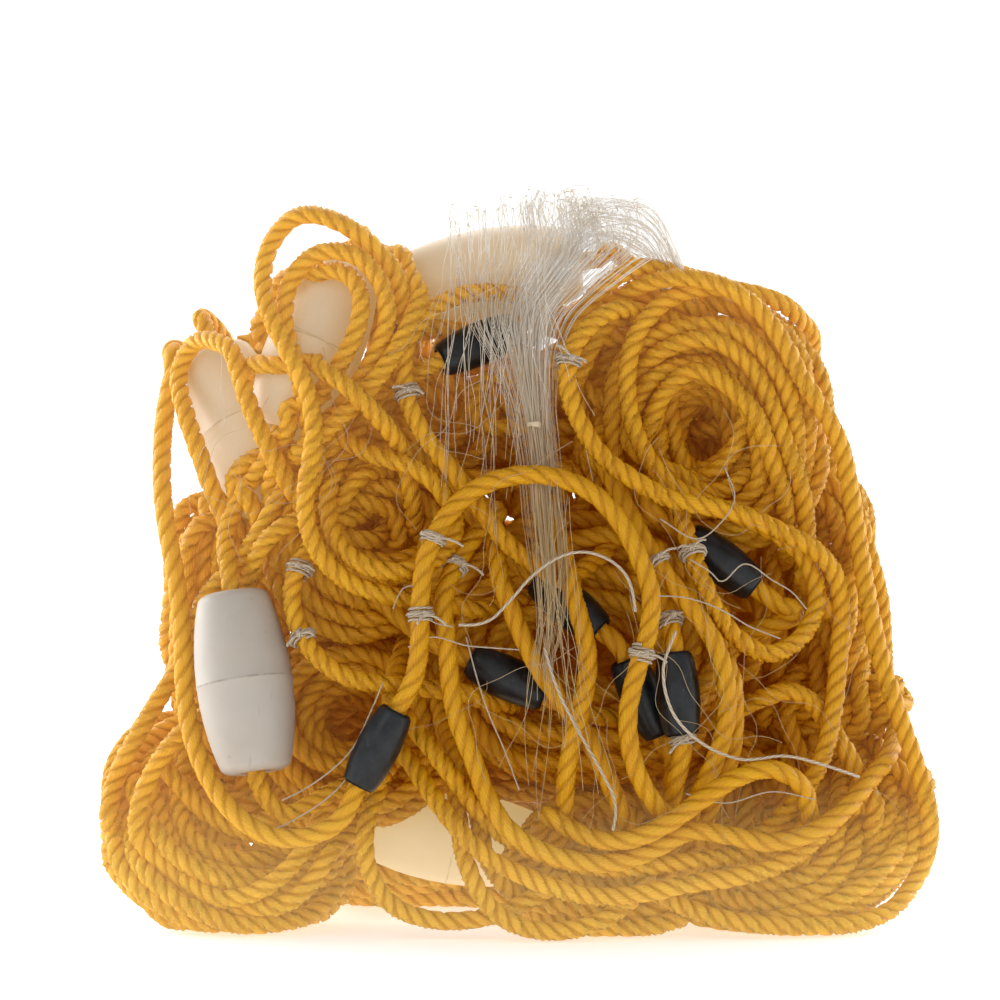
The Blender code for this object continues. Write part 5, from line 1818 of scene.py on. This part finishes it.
    def veil(self) -> np.ndarray:
        """A sparse filament that hangs at the left of the fan, nearly straight."""
        top = self.random.uniform(-24, 16)
        lean = self.random.normal(-4, 9)
        high = self.random.uniform(256, 292)
        low = high - self.random.uniform(45, 110)
        share = np.linspace(0, 1, 6)
        x = top + lean * share + self.random.normal(0, 0.8, 6)
        z = high + (low - high) * share
        y = self.section(z)[:, 1] - 7 + self.random.normal(0, 0.8, 6)
        line = smooth_path(np.column_stack([x, y, z]), 4.0)
        line[:, 1] += self.behind_arch(line[:, 0], line[:, 2])
        return line

    def stray(self, window: tuple) -> np.ndarray:
        """A loose filament over the front: one long arc in a window of x and z, with a lean."""
        x_low, x_high, z_low, z_high, lean = window
        chance = self.random
        spot = np.array([chance.uniform(x_low, x_high), chance.uniform(z_low, z_high)])
        length = chance.uniform(40, 110)
        marks = np.linspace(-length / 2, length / 2, 18)
        angle = (math.radians(-90 + lean + chance.normal(0, 30))
                 + marks * chance.normal(0, 1.8) / 70 + 0.4 * np.sin(marks / 9 + spot[0])
                 + 0.25 * np.sin(marks / 4 + spot[1]))
        gap = marks[1] - marks[0]
        x, z = (start + np.cumsum(steps) * gap - steps.sum() * gap / 2
                for start, steps in zip(spot, (np.cos(angle), np.sin(angle))))
        z = np.clip(z, 5.0, 296.0)
        y = -skin_depth(x, z) + ROPE_RADIUS * (chance.uniform(-0.5, 1.2)
                                               + 0.3 * np.sin(marks / 11))
        return np.column_stack([x, y, z])

    def dress(self, finish: NettingFinish, stray_finish: NettingFinish) -> None:
        """Makes the fan, its knots, its sides and the strays."""
        material = finish.material()
        fan = []
        knots = []
        for _ in range(self.hairpins):
            line = self.hairpin()
            fan.append(self.filament.skin(line))
            high = [k for k in range(1, len(line) - 1) if line[k][2] > self.knots_from]
            for index in self.random.choice(high, min(2, len(high))):
                way = unit(line[index + 1] - line[index - 1])
                knots.append(self.knot.skin(line[index] + np.outer((-0.6, 0, 0.6), way)))
        sides = [self.filament.skin(draw()) for count, draw in (
            (self.fold_strands, self.fold), (self.veil_strands, self.veil),
            (self.tail_strands, self.tail)) for _ in range(count)]
        height = self.tie_height
        middle = np.array([10.0, float(self.section(np.array([height]))[0, 1]) - 6, height])
        sides += [self.tie.skin(helix(middle, unit(np.array([tilt, 0.1, 1.0])), 2.6, 1.4, 1.8,
                                      tilt * 9)) for tilt in self.tie_tilts]
        strays = [self.stray_filament.skin(self.stray(window)) for window, _ in
                  zip(itertools.cycle(self.windows), range(self.strays))]
        piece("netting_fan", fan, material, Slot.NETTING, "netting")
        piece("netting_knots", knots, material, Slot.NETTING)
        piece("netting_sides", sides, material, Slot.NETTING)
        piece("netting_strays", strays, stray_finish.material(), Slot.NETTING)
        LOG.info("netting: %d hairpins, %d strays", self.hairpins, self.strays)


class Studio:
    """The camera, the pale floor that sweeps up behind, and the soft lights, in metres."""

    distance = 2.6
    elevation = 3.5
    aim = Vector((-0.0075, -0.045, 0.1745))
    width = 0.400
    sensor = 36.0
    floor = (0.92, 0.917, 0.91, 1.0)
    speck_shade = 0.985
    dim = (0.22, 0.22, 0.22, 1.0)
    sweep = ((3.2, 0.0), (3.7, 0.05), (4.1, 0.22), (4.4, 0.55), (4.5, 1.0), (4.5, 2.2))
    floor_gap = 0.0006
    glow = 0.55
    daylight = 0.46
    lit = Vector((0, 0, 0.12))
    white = (1.0, 1.0, 1.0)
    lights = (
        ("key", (-1.1, -1.6, 1.5), 1.2, 5.0, (1.0, 0.985, 0.96)),
        ("left_side", (-1.8, 0.9, 0.7), 1.4, 30.0, white),
        ("right_side", (1.8, 0.9, 0.7), 1.4, 24.0, white),
        ("back", (0.0, 1.5, 1.6), 1.8, 26.0, white),
    )

    def put(self, name: str, data: bpy.types.ID, spot: Vector, aim: Vector) -> bpy.types.Object:
        """Adds a camera or a light at a spot, pointed at its aim."""
        obj = bpy.data.objects.new(name, data)
        obj.location = spot
        obj.rotation_euler = (aim - spot).to_track_quat("-Z", "Y").to_euler()
        bpy.context.scene.collection.objects.link(obj)
        return obj

    def camera(self) -> None:
        """Adds the camera."""
        data = bpy.data.cameras.new("camera")
        data.sensor_width = self.sensor
        data.lens = self.sensor * self.distance / self.width
        data.clip_end = 20.0
        lift = math.radians(self.elevation)
        spot = self.aim + Vector((0, -math.cos(lift), math.sin(lift))) * self.distance
        bpy.context.scene.camera = self.put("camera", data, spot, self.aim)

    def stage(self) -> None:
        """Adds the floor with its raised rim, the lights and the pale surroundings."""
        bpy.ops.object.select_all(action="DESELECT")
        bpy.ops.mesh.primitive_circle_add(vertices=96, radius=self.sweep[0][0],
                                          fill_type="NGON", location=(0, 0, -self.floor_gap))
        floor = bpy.context.active_object
        floor.name = "floor"
        bpy.ops.object.mode_set(mode="EDIT")
        bpy.ops.mesh.select_all(action="SELECT")
        bpy.ops.mesh.region_to_loop()
        ring_up(self.sweep, 1.0)
        bpy.ops.object.mode_set(mode="OBJECT")
        smooth(floor.data)
        recipe = Recipe("pale_floor", Roughness=0.6, Specular_IOR_Level=0.3,
                        Emission_Strength=self.glow)
        speck = recipe.noise(recipe.place(), 6.0)
        shaded = tuple(value * self.speck_shade for value in self.floor[:3]) + (1.0,)
        shade = recipe.mix(speck, self.floor, shaded)
        back = recipe.split(recipe.place())[1].between(-1.3, -0.3)
        glow = recipe.mix(back, self.dim, self.floor)
        floor.data.materials.append(recipe.dress(Base_Color=shade, Emission_Color=glow))
        floor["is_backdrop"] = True
        for name, spot, size, power, colour in self.lights:
            data = bpy.data.lights.new(name, "AREA")
            data.shape = "DISK"
            data.size = size
            data.energy = power
            data.color = colour
            self.put(name, data, Vector(spot), self.lit)
        world = bpy.data.worlds.new("surroundings")
        world.use_nodes = True
        sky = world.node_tree.nodes["Background"].inputs
        sky["Color"].default_value = (1, 1, 1, 1)
        sky["Strength"].default_value = self.daylight
        bpy.context.scene.world = world
        bpy.context.scene.view_settings.view_transform = "Standard"


def corners() -> list:
    """The two corners of the box of all that shows, as plain lists."""
    return [[float(value) for value in corner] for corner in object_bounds()]


def main() -> None:
    """Builds the whole dressed bundle."""
    logging.basicConfig(level=logging.INFO, format="%(message)s")
    packed = corners()
    studio = Studio()
    studio.camera()
    layout = Layout()
    layout.spread()
    LOG.info("layout: %d runs", len(layout.paths))
    TwineWork(layout).dress(TwineFinish())
    lo, hi = np.array(packed) / MM + np.array(MIDDLE)
    rim = ROPE_RADIUS + ROPE_MARGIN
    rope = RopeWork(layout, lo + rim, hi - rim, SETTLE)
    rope.dress(RopeFinish())
    Barrels(layout).dress(FloatFinish(), SinkerFinish())
    # the strays get a darker, browner copy of the netting finish: painted shade
    Netting().dress(NettingFinish(), NettingFinish(
        "netting_strays", (0.66, 0.57, 0.44, 1.0), (0.50, 0.40, 0.27, 1.0)))
    studio.stage()


if __name__ == "__main__":
    main()
